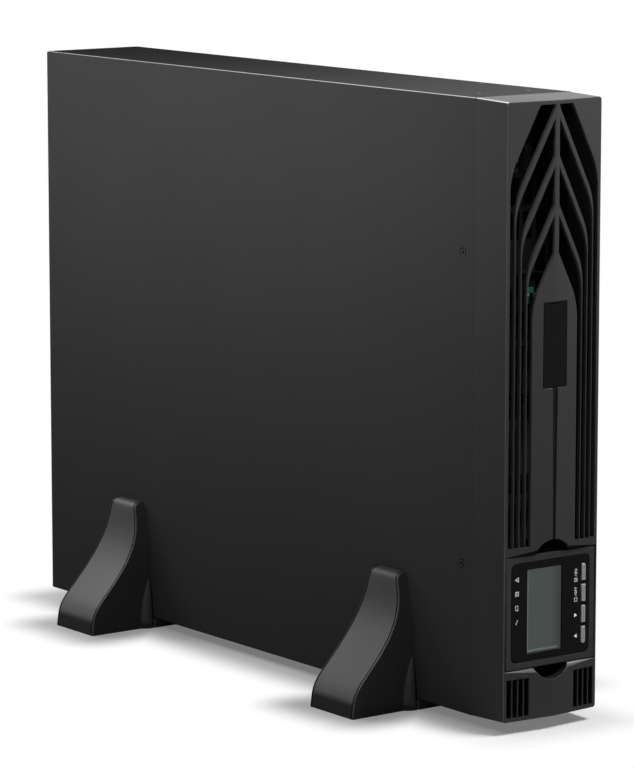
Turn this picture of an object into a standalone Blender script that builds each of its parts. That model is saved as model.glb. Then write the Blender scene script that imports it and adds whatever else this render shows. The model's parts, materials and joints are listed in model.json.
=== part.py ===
# Rack and tower uninterruptible power supply, standing on its tower feet.
# Metres, +Z up, front towards -Y, origin on the floor under the middle of the whole object.

import math

import bmesh
import bpy
from mathutils import Matrix, Vector

# Clearances
GAP = 0.0003                # between pieces that touch
SLIDE_GAP = 0.0005          # round pieces that slide
CUT = 0.002                 # how far a cutter runs past what it cuts
MERGE = 0.000001            # points closer than this are one

# Sides of round shapes
SMALL_SIDES = 8
HOLE_SIDES = 12
ROUND_SIDES = 20
FINE_SIDES = 64
FLARE_SIDES = 28
CURVE_STEPS = 6             # points along a short curve
SWEEP_STEPS = 14            # points along the sweep of a foot
SHARP_ANGLE = math.radians(35)

# Case
CASE_WIDTH = 0.0865
CASE_HEIGHT = 0.438
CASE_DEPTH = 0.5465
SHEET = 0.0012
BEND_RADIUS = 0.0015
PAN_FLANGE = 0.015
EAR_HOLE_RADIUS = 0.0024
EAR_HOLE_Y = 0.028          # behind the case's front edge
EAR_HOLE_X = (-0.0165, 0.027)
REAR_EAR_HOLE = (0.037, 0.092)
SIDE_SCREW_Y = 0.012
SIDE_SCREW_SPREAD = 0.1104  # above and below the middle of the case
SCREW_HEAD_RADIUS = 0.003
SCREW_SHANK_RADIUS = 0.0015
SCREW_LENGTH = 0.0055

# Feet
FOOT_LIFT = 0.008
FOOT_RISE = 0.0914          # above the underside of the case
FOOT_REACH = 0.0552         # beyond the side of the case
FOOT_NECK = 0.0088
FOOT_CROWN = 0.0084
FOOT_TOE_RUN = 0.0104
FOOT_TOE_RISE = 0.0185
FOOT_TOP_HALF = 0.0155
FOOT_WAIST_HALF = 0.025
FOOT_WAIST_RISE = 0.035
FOOT_BASE_HALF = 0.0258
FOOT_PLATE_HALF = 0.0315
FOOT_STEP = 0.0006          # small steps between the foot's joined shapes
FLARE_RUN = 0.0098          # of the flare beside the case
FLARE_SWELL = 0.0061
FLARE_RISE = 0.043
FLARE_STEPS = 8
FRONT_FOOT_Y = 0.0918       # behind the case's front edge
REAR_FOOT_Y = 0.1171        # ahead of the case's rear edge

# Bezel
BEZEL_DEPTH = 0.0345
BEZEL_RIDGE = 0.0034
BEZEL_SIDE_TAPER = 0.00085
BEZEL_END_TAPER = 0.0011
BEZEL_WALL = 0.0024
BEZEL_CORNER = 0.002
VENT_MARGIN = 0.00315
VENT_TOP_MARGIN = 0.0042
SLOT_WIDTH = 0.0038
SLOT_PITCH = 0.005
SLOT_COUNT = 4
CENTRE_RIB_HALF = 0.0021
CHEVRON_DROP = 0.0063       # first rib below the top of the case
CHEVRON_PITCH = 0.0337
CHEVRON_SLOT = 0.02585
CHEVRON_SLOPE = 1.93
CHEVRON_BEND = 0.012
SLOT_END_GAP = 0.0066       # between the slots and the display
LOWER_SLOT_MARGIN = 0.004
POST_RADIUS = 0.0035
POST_REACH = 0.0035         # into the front frame
UPPER_POST_X = 0.012
UPPER_POST_DROP = 0.212     # below the top of the case
TOP_POST_DROP = 0.126
LOWER_POST_RISE = 0.015

# Badge and centre groove
BADGE_HALF = 0.0102
BADGE_HEIGHT = 0.0598
BADGE_DROP = 0.142          # badge top below the top of the case
BADGE_THICKNESS = 0.0006
GROOVE_TOP_HALF = 0.002
GROOVE_LOW_HALF = 0.0011
GROOVE_DEPTH = 0.001

# Display
DISPLAY_SIDE_WALL = 0.0015
DISPLAY_GAP = 0.0005
DISPLAY_RISE = 0.0782       # its middle above the underside of the case
DISPLAY_DEPTH = 0.024
DISPLAY_WALL = 0.002
DISPLAY_EDGE = 0.0009
PANEL_MARGIN = 0.0052
PANEL_THICKNESS = 0.002
PANEL_CORNER = 0.004
PANEL_LEDGE = 0.0018
LCD_X = -0.0054
LCD_WIDTH = 0.031
LCD_HEIGHT = 0.0605
LCD_SINK = 0.0004
LCD_THICKNESS = 0.0014
BUTTONS = ("button_up", "button_down", "button_off", "button_on")
BUTTON_INSET = 0.0051       # middle of the keys from the side of the panel
BUTTON_WIDTH = 0.0042
BUTTON_HEIGHT = 0.0130
BUTTON_PITCH = 0.0152
BUTTON_PROUD = 0.0008
BUTTON_TRAVEL = 0.0012
BUTTON_LIP = 0.0006
BUTTON_LIP_THICKNESS = 0.001
BUTTON_STEM = 0.0012
SWITCH_HEIGHT = 0.0006
MOON_RADIUS = 0.018
MOON_OFFSET = 0.0321        # from the display's middle
MOON_DEPTH = 0.012
MOON_WALL = 0.0018
LIP_SLOPE = 1.28

# Front frame and grille
FRAME_SETBACK = 0.0015
GRILLE_PITCH_X = 0.0118
GRILLE_PITCH_Z = 0.0238
GRILLE_SLOT = (0.0084, 0.0196)
GRILLE_MARGIN = 0.004
GRILLE_LOW_MARGIN = 0.029   # above the divider
SIDE_TAB = 0.018

# Battery pack
BATTERY = (0.065, 0.151, 0.094)
BATTERY_EDGE = 0.0015
BATTERY_LAYERS = 2
TERMINAL_SPACE = 0.014
TERMINAL = (0.0064, 0.001, 0.006)
TERMINAL_INSET = 0.012
REAR_SERVICE_DEPTH = 0.078
TRAY_SIDE_CLEARANCE = 0.003
TRAY_LIP = 0.002
TRAY_BEND = 0.00125
HANDLE_RISE = 0.165         # middle of the handle above the underside of the case
HANDLE_SPAN = 0.036
HANDLE_REACH = 0.016
HANDLE_STRAP = 0.003
HANDLE_WIDTH = 0.014
PLUG = (0.03, 0.018, 0.018)
SOCKET_DEPTH = 0.02
BLADE = (0.001, 0.008, 0.009)
BLADE_SPACING = 0.014

# Electronics
BOARD_THICKNESS = 0.0016
STANDOFF = 0.008
STANDOFF_RADIUS = 0.003
BOARD_MARGIN = 0.01
BOARD_FRONT = 0.03          # behind the case's front edge
BOARD_REAR = 0.06           # ahead of the case's rear edge
BOARD_HOLE_INSET = 0.012
PART_SPACING = 0.008
SINK_LENGTH = 0.15
SINK_BASE = 0.005
SINK_FINS = 6
FIN_PITCH = 0.0072
FIN_THICKNESS = 0.002
FIN_LENGTH = 0.05
CAPACITOR_RADIUS = 0.0175
CAPACITOR_LENGTH = 0.045
CAPACITOR_RIM = 0.0015
CAPACITOR_COUNT = 3
CHOKE_RADIUS = 0.021
CHOKE_TUBE = 0.009
CORE = (0.036, 0.056, 0.046)
WINDING = (0.028, 0.068, 0.03)
CONTROL_BOARD = (0.032, 0.118)
CONTROL_BOARD_X = -0.02
CONTROL_BOARD_Y = 0.014

# Fans
FAN_SIDE_CLEARANCE = 0.0017
FAN_DEPTH = 0.025
FAN_WALL = 0.002
FAN_SCREW_INSET = 0.00425
FAN_SCREW_RADIUS = 0.0022
FAN_HUB_RADIUS = 0.0165
FAN_STRUT = 0.004
FAN_STRUT_WIDTH = 0.005
ROTOR_TIP_GAP = 0.001
ROTOR_LENGTH = 0.018
BLADES = 7
BLADE_ROOT = 0.0016         # how far a blade runs into the hub
BLADE_CHORD = 0.018
BLADE_THICKNESS = 0.0014
BLADE_PITCH = math.radians(40)
GUARD_THICKNESS = 0.0016
GUARD_WIRE = 0.002
GUARD_RINGS = 3
GUARD_SECTORS = 4
GUARD_STEPS = 4

# Rear ports, each width by height as seen from behind
FLANGE_LIP = 0.002
FLANGE_THICKNESS = 0.002
PORT_REACH = 0.01           # the battery port stands out furthest
INLET = (0.032, 0.028)
INLET_DEPTH = 0.028
INLET_CAVITY = (0.026, 0.021)
INLET_CAVITY_DEPTH = 0.018
INLET_CORNER = 0.003
PIN = (0.002, 0.012, 0.006)
PIN_SPREAD = 0.0085
PIN_RISE = 0.004
BATTERY_PORT = (0.022, 0.028)
BATTERY_PORT_DEPTH = 0.02
PORT_CAVITY = (0.014, 0.008)
PORT_CAVITY_SPREAD = 0.006
STRIP = (0.031, 0.082)
STRIP_DEPTH = 0.024
OUTLET_COUNT = 4
OUTLET_PITCH = 0.0198
OUTLET = (0.024, 0.0162)
OUTLET_CHAMFER = 0.0045
OUTLET_TRENCH = 0.0024
OUTLET_DEPTH = 0.014
OUTLET_SLOT = (0.002, 0.0055)
OUTLET_SLOT_SPREAD = 0.0055
OUTLET_SLOT_RISE = 0.0016
SERIAL = (0.031, 0.0125)
SERIAL_SHELL = (0.018, 0.0085)
SERIAL_SKEW = 0.001
SERIAL_REACH = 0.006
PORT_DEPTH = 0.012
USB = (0.0125, 0.0115)
USB_WALL = 0.001
USB_TONGUE = (0.0056, 0.0032)
TERMINAL_BLOCK = (0.0125, 0.0115)
TERMINAL_HOLE_RADIUS = 0.0014
TERMINAL_HOLE_SPREAD = 0.0026
TERMINAL_HOLE_DEPTH = 0.0048
TERMINAL_REACH = 0.006
BREAKER_RADIUS = 0.006
BREAKER_NUT_RADIUS = 0.0085
BREAKER_NUT = 0.0035
BREAKER_DEPTH = 0.03
BREAKER_BUTTON_RADIUS = 0.0034
BREAKER_BUTTON_PROUD = 0.003
SLOT_COVER = (0.062, 0.034)
SLOT_COVER_LIP = 0.005
THUMB_RADIUS = 0.004
THUMB_REACH = 0.006

# Finishes: colour, roughness, metallic
FINISHES = {
    "steel_paint": ((0.022, 0.022, 0.023), 0.5, 0.0),
    "zinc": ((0.55, 0.56, 0.57), 0.35, 1.0),
    "black_plastic": ((0.025, 0.025, 0.026), 0.45, 0.0),
    "gloss_black": ((0.008, 0.008, 0.008), 0.12, 0.0),
    "lcd_grey": ((0.06, 0.075, 0.068), 0.15, 0.0),
    "button_grey": ((0.33, 0.33, 0.33), 0.4, 0.0),
    "board_green": ((0.01, 0.12, 0.05), 0.5, 0.0),
    "battery_grey": ((0.09, 0.095, 0.1), 0.5, 0.0),
    "aluminium": ((0.72, 0.73, 0.74), 0.3, 1.0),
    "copper": ((0.6, 0.28, 0.12), 0.35, 1.0),
    "terminal_green": ((0.02, 0.22, 0.07), 0.4, 0.0),
}

# Levels that follow from the sizes
OVERALL_DEPTH = BEZEL_RIDGE + BEZEL_DEPTH + CASE_DEPTH + PORT_REACH
NOSE = -OVERALL_DEPTH / 2
FACE = NOSE + BEZEL_RIDGE
SEAM = FACE + BEZEL_DEPTH
REAR = SEAM + CASE_DEPTH
BASE = FOOT_LIFT
TOP = BASE + CASE_HEIGHT
HALF = CASE_WIDTH / 2
INSIDE = HALF - SHEET - GAP
FLOOR_IN = BASE + 2 * SHEET + 2 * GAP
ROOF_IN = TOP - 2 * SHEET - 2 * GAP
FRONT_HALF = HALF - BEZEL_SIDE_TAPER
DISPLAY_HALF = FRONT_HALF - DISPLAY_SIDE_WALL - DISPLAY_GAP
DISPLAY_Z = BASE + DISPLAY_RISE
PANEL_HALF = DISPLAY_HALF - PANEL_MARGIN
BUTTON_X = PANEL_HALF - BUTTON_INSET
FRAME_FRONT = SEAM + FRAME_SETBACK
FRAME_BACK = FRAME_FRONT + SHEET
PANEL_BACK = REAR - SHEET

# Battery bay levels
TRAY_FRONT = FRAME_BACK + GAP
TRAY_OUT = HALF - SHEET - TRAY_SIDE_CLEARANCE
TRAY_LOW = FLOOR_IN - GAP + SLIDE_GAP
BATTERY_LOW = TRAY_LOW + SHEET + GAP
LAYER_PITCH = BATTERY[2] + TERMINAL_SPACE
TRAY_HIGH = BATTERY_LOW + (BATTERY_LAYERS - 1) * LAYER_PITCH + BATTERY[2] + GAP + SHEET
BATTERY_RIGHT = TRAY_OUT - SHEET - GAP
TRAY_IN = BATTERY_RIGHT - BATTERY[0] - TRAY_LIP
BATTERY_PITCH = BATTERY[1] + GAP
BATTERY_ROWS = int((CASE_DEPTH - REAR_SERVICE_DEPTH) / BATTERY_PITCH)
BATTERY_FRONT = FRAME_FRONT + POST_REACH + SLIDE_GAP
TRAY_BACK = BATTERY_FRONT + BATTERY_ROWS * BATTERY_PITCH + SHEET
DIVIDER_LOW = TRAY_HIGH + SLIDE_GAP
DIVIDER_HIGH = DIVIDER_LOW + SHEET
SOCKET_FRONT = TRAY_BACK + GAP + PLUG[1] + SLIDE_GAP
DIVIDER_BACK = SOCKET_FRONT + SOCKET_DEPTH

# Main board levels
BOARD_OUT = HALF - SHEET - STANDOFF - GAP
BOARD_IN = BOARD_OUT - BOARD_THICKNESS
BOARD_LOW = DIVIDER_HIGH + BOARD_MARGIN
BOARD_HIGH = ROOF_IN - BOARD_MARGIN
SEAT = BOARD_IN - GAP

# Fans
FAN_SIZE = 2 * (INSIDE - FAN_SIDE_CLEARANCE)
FAN_BORE = FAN_SIZE / 2 - FAN_WALL

# Axes that a flat outline is drawn on: its two directions and the way it is extruded
PLANES = {
    "XY": Matrix.Identity(4),
    "XZ": Matrix.Rotation(math.pi / 2, 4, "X"),
    "YZ": Matrix.Rotation(math.pi / 2, 4, "Z") @ Matrix.Rotation(math.pi / 2, 4, "X"),
}
NORMALS = {"XY": Vector((0, 0, 1)), "XZ": Vector((0, 1, 0)), "YZ": Vector((1, 0, 0))}


# Scene and collections
for old in list(bpy.data.objects):
    bpy.data.objects.remove(old, do_unlink=True)

PARTS = bpy.data.collections.new("uninterruptible_power_supply")
CUTTERS = bpy.data.collections.new("cutters")
for group in (PARTS, CUTTERS):
    bpy.context.scene.collection.children.link(group)


def finish(obj, kind):
    """Give a piece its own material, with the values of one finish."""
    colour, roughness, metallic = FINISHES[kind]
    material = bpy.data.materials.new(obj.name)
    material.use_nodes = True
    shader = material.node_tree.nodes["Principled BSDF"]
    shader.inputs["Base Color"].default_value = (*colour, 1)
    shader.inputs["Roughness"].default_value = roughness
    shader.inputs["Metallic"].default_value = metallic
    obj.data.materials.clear()
    obj.data.materials.append(material)
    return obj


def add_object(name, mesh, location):
    obj = bpy.data.objects.new(name, mesh)
    obj.location = location
    PARTS.objects.link(obj)
    return obj


def edit_mesh(mesh, change):
    """Run a change on a mesh as a bmesh."""
    work = bmesh.new()
    work.from_mesh(mesh)
    change(work)
    work.to_mesh(mesh)
    work.free()


def close_mesh(work):
    bmesh.ops.remove_doubles(work, verts=work.verts, dist=MERGE)
    bmesh.ops.recalc_face_normals(work, faces=work.faces)


# Outlines
def rectangle(centre, size):
    (u, v), (width, height) = centre, size
    return [
        (u - width / 2, v - height / 2),
        (u + width / 2, v - height / 2),
        (u + width / 2, v + height / 2),
        (u - width / 2, v + height / 2),
    ]


def arc(centre, radius, start, end, steps):
    angles = [start + (end - start) * step / steps for step in range(steps + 1)]
    return [(centre[0] + radius * math.cos(a), centre[1] + radius * math.sin(a)) for a in angles]


def circle(centre, radius, sides):
    half_side = math.pi / sides
    return arc(centre, radius, half_side, math.tau + half_side, sides)[:-1]


def rounded(centre, size, radius, steps=3):
    points = []
    for quarter, (sign_u, sign_v) in enumerate(((1, 1), (-1, 1), (-1, -1), (1, -1))):
        corner = (
            centre[0] + sign_u * (size[0] / 2 - radius),
            centre[1] + sign_v * (size[1] / 2 - radius),
        )
        start = quarter * math.pi / 2
        points += arc(corner, radius, start, start + math.pi / 2, steps)
    return points


def curve_points(a, b, c, d, steps):
    """Points of a cubic curve from a to d, with b and c as its handles."""
    points = []
    for step in range(steps + 1):
        t = step / steps
        weights = ((1 - t) ** 3, 3 * t * (1 - t) ** 2, 3 * t * t * (1 - t), t ** 3)
        points.append(tuple(
            sum(w * p[axis] for w, p in zip(weights, (a, b, c, d))) for axis in range(2)
        ))
    return points


# Solids
def prism(name, outlines, plane, low, high):
    """Extrude flat outlines between two levels; an outline inside another is a hole."""
    curve = bpy.data.curves.new(name, "CURVE")
    curve.dimensions = "2D"
    curve.fill_mode = "BOTH"
    curve.extrude = (high - low) / 2
    for points in outlines:
        spline = curve.splines.new("POLY")
        spline.points.add(len(points) - 1)
        for spot, (u, v) in zip(spline.points, points):
            spot.co = (u, v, 0, 1)
        spline.use_cyclic_u = True
    sketch = bpy.data.objects.new(name + "_sketch", curve)
    sketch.matrix_world = Matrix.Translation(NORMALS[plane] * (low + high) / 2) @ PLANES[plane]
    CUTTERS.objects.link(sketch)
    bpy.context.view_layer.update()
    graph = bpy.context.evaluated_depsgraph_get()
    mesh = bpy.data.meshes.new_from_object(sketch.evaluated_get(graph))
    edit_mesh(mesh, close_mesh)
    obj = add_object(name, mesh, (0, 0, 0))
    obj.matrix_world = sketch.matrix_world
    bpy.data.objects.remove(sketch)
    return obj


def box(name, low, high):
    size = [top - bottom for bottom, top in zip(low, high)]
    middle = [(top + bottom) / 2 for bottom, top in zip(low, high)]
    mesh = bpy.data.meshes.new(name)
    work = bmesh.new()
    bmesh.ops.create_cube(work, size=1, matrix=Matrix.Diagonal((*size, 1)))
    work.to_mesh(mesh)
    work.free()
    return add_object(name, mesh, middle)


def turned(name, profile, location, axis, sides):
    """Turn a profile of (radius, height) round an axis through a place."""
    mesh = bpy.data.meshes.new(name)
    work = bmesh.new()
    spots = [work.verts.new((radius, 0, height)) for radius, height in profile]
    edges = [work.edges.new(pair) for pair in zip(spots, spots[1:])]
    if profile[0][0] > 0:
        edges.append(work.edges.new((spots[-1], spots[0])))
    bmesh.ops.spin(
        work, geom=spots + edges, cent=(0, 0, 0), axis=(0, 0, 1),
        angle=math.tau, steps=sides, use_merge=True,
    )
    close_mesh(work)
    bmesh.ops.dissolve_degenerate(work, edges=work.edges, dist=MERGE)
    work.to_mesh(mesh)
    work.free()
    obj = add_object(name, mesh, location)
    obj.rotation_euler = Vector((0, 0, 1)).rotation_difference(axis).to_euler()
    mesh.shade_smooth()
    mesh.set_sharp_from_angle(angle=SHARP_ANGLE)
    return obj


def hide_tool(tool):
    """File a cutter, or a shape that has been joined, with the other tools."""
    PARTS.objects.unlink(tool)
    CUTTERS.objects.link(tool)
    tool.hide_render = True
    tool.display_type = "WIRE"


def combine(obj, operation, tools):
    for tool in tools:
        step = obj.modifiers.new(operation.lower(), "BOOLEAN")
        step.operation = operation
        step.solver = "EXACT"
        step.object = tool
        hide_tool(tool)
    return obj


def cut(obj, *tools):
    return combine(obj, "DIFFERENCE", tools)


def join(obj, *tools):
    return combine(obj, "UNION", tools)


def keep_common(obj, *tools):
    return combine(obj, "INTERSECT", tools)


def soften(obj, width):
    step = obj.modifiers.new("soften", "BEVEL")
    step.width = width
    step.segments = 1
    step.limit_method = "ANGLE"
    step.angle_limit = SHARP_ANGLE
    return obj


# Case
def channel(left, right, low, high, wall, radius, steps=3):
    """Outline of a sheet bent into a U that opens to the right."""
    bends = ((left, low, math.pi * 1.5, math.pi), (left, high, math.pi, math.pi / 2))
    outer = [(right, low)]
    inner = [(right, low + wall)]
    for x, z, start, end in bends:
        up = 1 if z == low else -1
        centre = (x + radius, z + up * radius)
        outer += arc(centre, radius, start, end, steps)
        inner += arc(centre, radius - wall, start, end, steps)
    outer.append((right, high))
    inner.append((right, high - wall))
    return outer + inner[::-1]


def mirrored(outline):
    return [(-u, v) for u, v in outline]


def ear_holes(name, level):
    spots = [(x, SEAM + EAR_HOLE_Y) for x in EAR_HOLE_X]
    spots.append((REAR_EAR_HOLE[0], SEAM + REAR_EAR_HOLE[1]))
    rings = [circle(spot, EAR_HOLE_RADIUS, HOLE_SIDES) for spot in spots]
    return prism(name, rings, "XY", level - SHEET - CUT, level + SHEET + CUT)


def side_screw_places():
    middle = BASE + CASE_HEIGHT / 2
    return {"upper": middle + SIDE_SCREW_SPREAD, "lower": middle - SIDE_SCREW_SPREAD}


def countersink(grow):
    """Turned outline of a side screw, from the rim of its head to its tip."""
    head = SCREW_HEAD_RADIUS + grow
    shank = SCREW_SHANK_RADIUS + grow
    return [(head, 0), (shank, -SHEET), (shank, -SCREW_LENGTH), (0, -SCREW_LENGTH)]


def build_case():
    outline = channel(-HALF, HALF, BASE, TOP, SHEET, BEND_RADIUS, CURVE_STEPS)
    cover = prism("cover", [outline], "XZ", SEAM, REAR)
    cut(cover, ear_holes("top_ear_holes", TOP), ear_holes("bottom_ear_holes", BASE))
    outward = (-1, 0, 0)
    for place, z in side_screw_places().items():
        spot = (-HALF, SEAM + SIDE_SCREW_Y, z)
        seat = [(0, CUT), (SCREW_HEAD_RADIUS + GAP, CUT)] + countersink(GAP)
        cut(cover, turned("screw_seat_" + place, seat, spot, outward, HOLE_SIDES))
        screw = [(0, 0)] + countersink(0)
        finish(turned("side_screw_" + place, screw, spot, outward, HOLE_SIDES), "zinc")
    finish(cover, "steel_paint")

    tight_bend = SHEET + GAP
    low = BASE + SHEET + GAP
    high = TOP - SHEET - GAP
    outline = channel(-HALF, PAN_FLANGE - HALF, low, high, SHEET, tight_bend)
    pan = prism("base_pan", [mirrored(outline)], "XZ", SEAM, REAR)
    for index, (y, z) in enumerate(board_hole_places()):
        root = -SHEET / 2
        profile = [(0, STANDOFF), (STANDOFF_RADIUS, STANDOFF), (STANDOFF_RADIUS, root), (0, root)]
        spot = (HALF - SHEET, y, z)
        join(pan, turned("standoff_%d" % index, profile, spot, outward, HOLE_SIDES))
    finish(pan, "steel_paint")

    divider_low = (SHEET + GAP - INSIDE, FRAME_BACK + GAP, DIVIDER_LOW)
    divider_high = (INSIDE, DIVIDER_BACK, DIVIDER_HIGH)
    finish(box("bay_divider", divider_low, divider_high), "zinc")


def grille_slots():
    """Air slots of the front frame, left out where a bezel post passes."""
    low = DIVIDER_HIGH + GRILLE_LOW_MARGIN
    rows = int((ROOF_IN - GRILLE_MARGIN - low) / GRILLE_PITCH_Z)
    columns = 2 * int((INSIDE - GRILLE_MARGIN) / GRILLE_PITCH_X)
    slots = []
    for row in range(rows):
        for column in range(columns):
            x = (column - (columns - 1) / 2) * GRILLE_PITCH_X
            z = low + (row + 0.5) * GRILLE_PITCH_Z
            clear = POST_RADIUS + 2 * SLIDE_GAP
            blocked = any(
                abs(x - px) < GRILLE_SLOT[0] / 2 + clear and abs(z - pz) < GRILLE_SLOT[1] / 2 + clear
                for px, pz in upper_posts()
            )
            if not blocked:
                slots.append(rectangle((x, z), GRILLE_SLOT))
    return slots


def upper_posts():
    return [
        (-UPPER_POST_X, TOP - UPPER_POST_DROP),
        (UPPER_POST_X, TOP - UPPER_POST_DROP),
        (0, TOP - TOP_POST_DROP),
    ]


def build_front_frame():
    bay_left = TRAY_IN - TRAY_LIP - SLIDE_GAP
    bay_right = TRAY_OUT + SLIDE_GAP
    outline = [
        (-INSIDE, FLOOR_IN), (bay_left, FLOOR_IN), (bay_left, DIVIDER_LOW), (bay_right, DIVIDER_LOW),
        (bay_right, FLOOR_IN), (INSIDE, FLOOR_IN), (INSIDE, ROOF_IN), (-INSIDE, ROOF_IN),
    ]
    frame = prism("front_frame", [outline], "XZ", FRAME_FRONT, FRAME_BACK)
    tab_low = (-INSIDE, FRAME_FRONT + SHEET / 2, FLOOR_IN)
    tab_high = (SHEET - INSIDE, SEAM + SIDE_TAB, ROOF_IN)
    join(frame, box("side_tab", tab_low, tab_high))
    holes = [circle(post, POST_RADIUS + SLIDE_GAP, HOLE_SIDES) for post in upper_posts()]
    holes += grille_slots()
    cut(frame, prism("grille_holes", holes, "XZ", FRAME_FRONT - CUT, FRAME_BACK + CUT))
    hole_half = SCREW_SHANK_RADIUS + GAP
    y = SEAM + SIDE_SCREW_Y
    for place, z in side_screw_places().items():
        low = (-INSIDE - CUT, y - hole_half, z - hole_half)
        high = (CUT - INSIDE, y + hole_half, z + hole_half)
        cut(frame, box("tab_hole_" + place, low, high))
    finish(frame, "steel_paint")


# Feet
def foot_profile(side):
    """Outer side of a foot: rounded crown, hollow sweep and rounded toe.

    Each curve's handles are shares of its own run and rise.
    """
    inner = HALF + GAP
    neck = HALF + FOOT_NECK
    reach = HALF + FOOT_REACH
    top = BASE + FOOT_RISE
    shoulder = (reach - FOOT_TOE_RUN, BASE + FOOT_TOE_RISE)
    drop = top - FOOT_CROWN - shoulder[1]
    run = shoulder[0] - neck
    lip = (neck, top - FOOT_CROWN)
    points = [(inner, 0), (inner, top)]
    points += curve_points(
        (inner + 0.15 * FOOT_NECK, top), (neck - 0.3 * FOOT_NECK, top),
        (neck, top - 0.3 * FOOT_CROWN), lip, CURVE_STEPS,
    )
    points += curve_points(
        lip, (neck, lip[1] - 0.43 * drop),
        (shoulder[0] - 0.41 * run, shoulder[1] + 0.25 * drop), shoulder, SWEEP_STEPS,
    )[1:]
    points += curve_points(
        shoulder, (shoulder[0] + 0.58 * FOOT_TOE_RUN, shoulder[1] - 0.36 * FOOT_TOE_RISE),
        (reach - 0.14 * FOOT_TOE_RUN, BASE + 0.38 * FOOT_TOE_RISE),
        (reach - 0.08 * FOOT_TOE_RUN, BASE - 0.05 * FOOT_TOE_RISE), CURVE_STEPS,
    )[1:]
    points.append((reach, 0))
    return [(side * x, z) for x, z in points]


def both_halves(y, right):
    return [(y + half, z) for half, z in right] + [(y - half, z) for half, z in right[::-1]]


def foot_front(y):
    """Front view of a foot, wide at its base and narrow at its crown."""
    waist = BASE + FOOT_WAIST_RISE
    top = BASE + FOOT_RISE
    rise = top - waist
    narrowing = FOOT_WAIST_HALF - FOOT_TOP_HALF
    right = [(FOOT_BASE_HALF, -CUT)]
    right += curve_points(
        (FOOT_WAIST_HALF, waist), (FOOT_WAIST_HALF - 0.04 * narrowing, waist + 0.35 * rise),
        (FOOT_TOP_HALF + 0.58 * narrowing, waist + 0.7 * rise), (FOOT_TOP_HALF, top), CURVE_STEPS,
    )
    right.append((FOOT_TOP_HALF, top + CUT))
    return both_halves(y, right)


def foot_flare(name, side, y):
    """Rounded swelling that widens the foot beside the case and runs up to a point."""
    near = HALF + GAP
    profile = [(0, 0)]
    for step in range(FLARE_STEPS + 1):
        share = step / FLARE_STEPS
        profile.append((1 - share ** 2, FLARE_RISE * share))
    flare = turned(name, profile, (side * near, y, FOOT_STEP / 2), (0, 0, 1), FLARE_SIDES)
    flare.scale = (FLARE_RUN, FLARE_SWELL, 1)
    span = sorted((side * (near + FOOT_STEP / 2), side * (near + 2 * FLARE_RUN)))
    low = (span[0], y - 2 * FLARE_SWELL, -CUT)
    high = (span[1], y + 2 * FLARE_SWELL, FLARE_RISE + CUT)
    return keep_common(flare, box(name + "_side", low, high))


def foot_plate(name, side, y):
    """Plate under the case, drawn in where it meets the flares."""
    root = FOOT_WAIST_HALF - FOOT_STEP + FLARE_SWELL - 2 * FOOT_STEP
    right = [
        (GAP / 2, FOOT_PLATE_HALF), (HALF - FOOT_STEP, FOOT_PLATE_HALF), (HALF + GAP + FOOT_STEP, root),
    ]
    outline = [(side * x, y + half) for x, half in right]
    outline += [(side * x, y - half) for x, half in right[::-1]]
    return prism(name, [outline], "XY", FOOT_STEP, BASE - GAP)


def build_foot(name, side, y):
    foot = prism(name, [foot_profile(side)], "XZ", y - FOOT_PLATE_HALF, y + FOOT_PLATE_HALF)
    span = sorted((side * (HALF - CUT), side * (HALF + FOOT_REACH + CUT)))
    keep_common(foot, prism(name + "_front", [foot_front(y)], "YZ", *span))
    for hand in (-1, 1):
        place = y + hand * (FOOT_WAIST_HALF - FOOT_STEP)
        join(foot, foot_flare("%s_flare_%d" % (name, hand), side, place))
    join(foot, foot_plate(name + "_plate", side, y))
    finish(foot, "black_plastic")


def build_feet():
    for end, y in (("front", SEAM + FRONT_FOOT_Y), ("rear", REAR - REAR_FOOT_Y)):
        for hand, side in (("left", -1), ("right", 1)):
            build_foot("foot_%s_%s" % (end, hand), side, y)


# Bezel
def bezel_block(name, inset, front, back, corner):
    """Tapered block whose front is two flat halves that meet in a shallow ridge."""
    half = HALF - inset
    middle = (BASE + TOP) / 2
    outline = rounded((0, middle), (2 * half, CASE_HEIGHT - 2 * inset), corner, 2)
    block = prism(name, [outline], "XZ", front, back)

    def shape(work):
        everything = work.verts[:] + work.edges[:] + work.faces[:]
        bmesh.ops.bisect_plane(work, geom=everything, plane_no=(1, 0, 0), dist=MERGE)
        for spot in work.verts:
            if spot.co.z > 0:
                spot.co.x *= 1 - BEZEL_SIDE_TAPER / half
                spot.co.y = middle + (spot.co.y - middle) * (1 - 2 * BEZEL_END_TAPER / CASE_HEIGHT)
                spot.co.z += BEZEL_RIDGE * (1 - abs(spot.co.x) / (half - BEZEL_SIDE_TAPER))

    edit_mesh(block.data, shape)
    return block


def bend(corner, before, after):
    """Round a corner of an outline between two unit directions."""
    start = [c - CHEVRON_BEND * d for c, d in zip(corner, before)]
    end = [c + CHEVRON_BEND * d for c, d in zip(corner, after)]
    return curve_points(
        start, [c + (s - c) / 3 for c, s in zip(corner, start)],
        [c + (e - c) / 3 for c, e in zip(corner, end)], end, CURVE_STEPS,
    )


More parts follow.
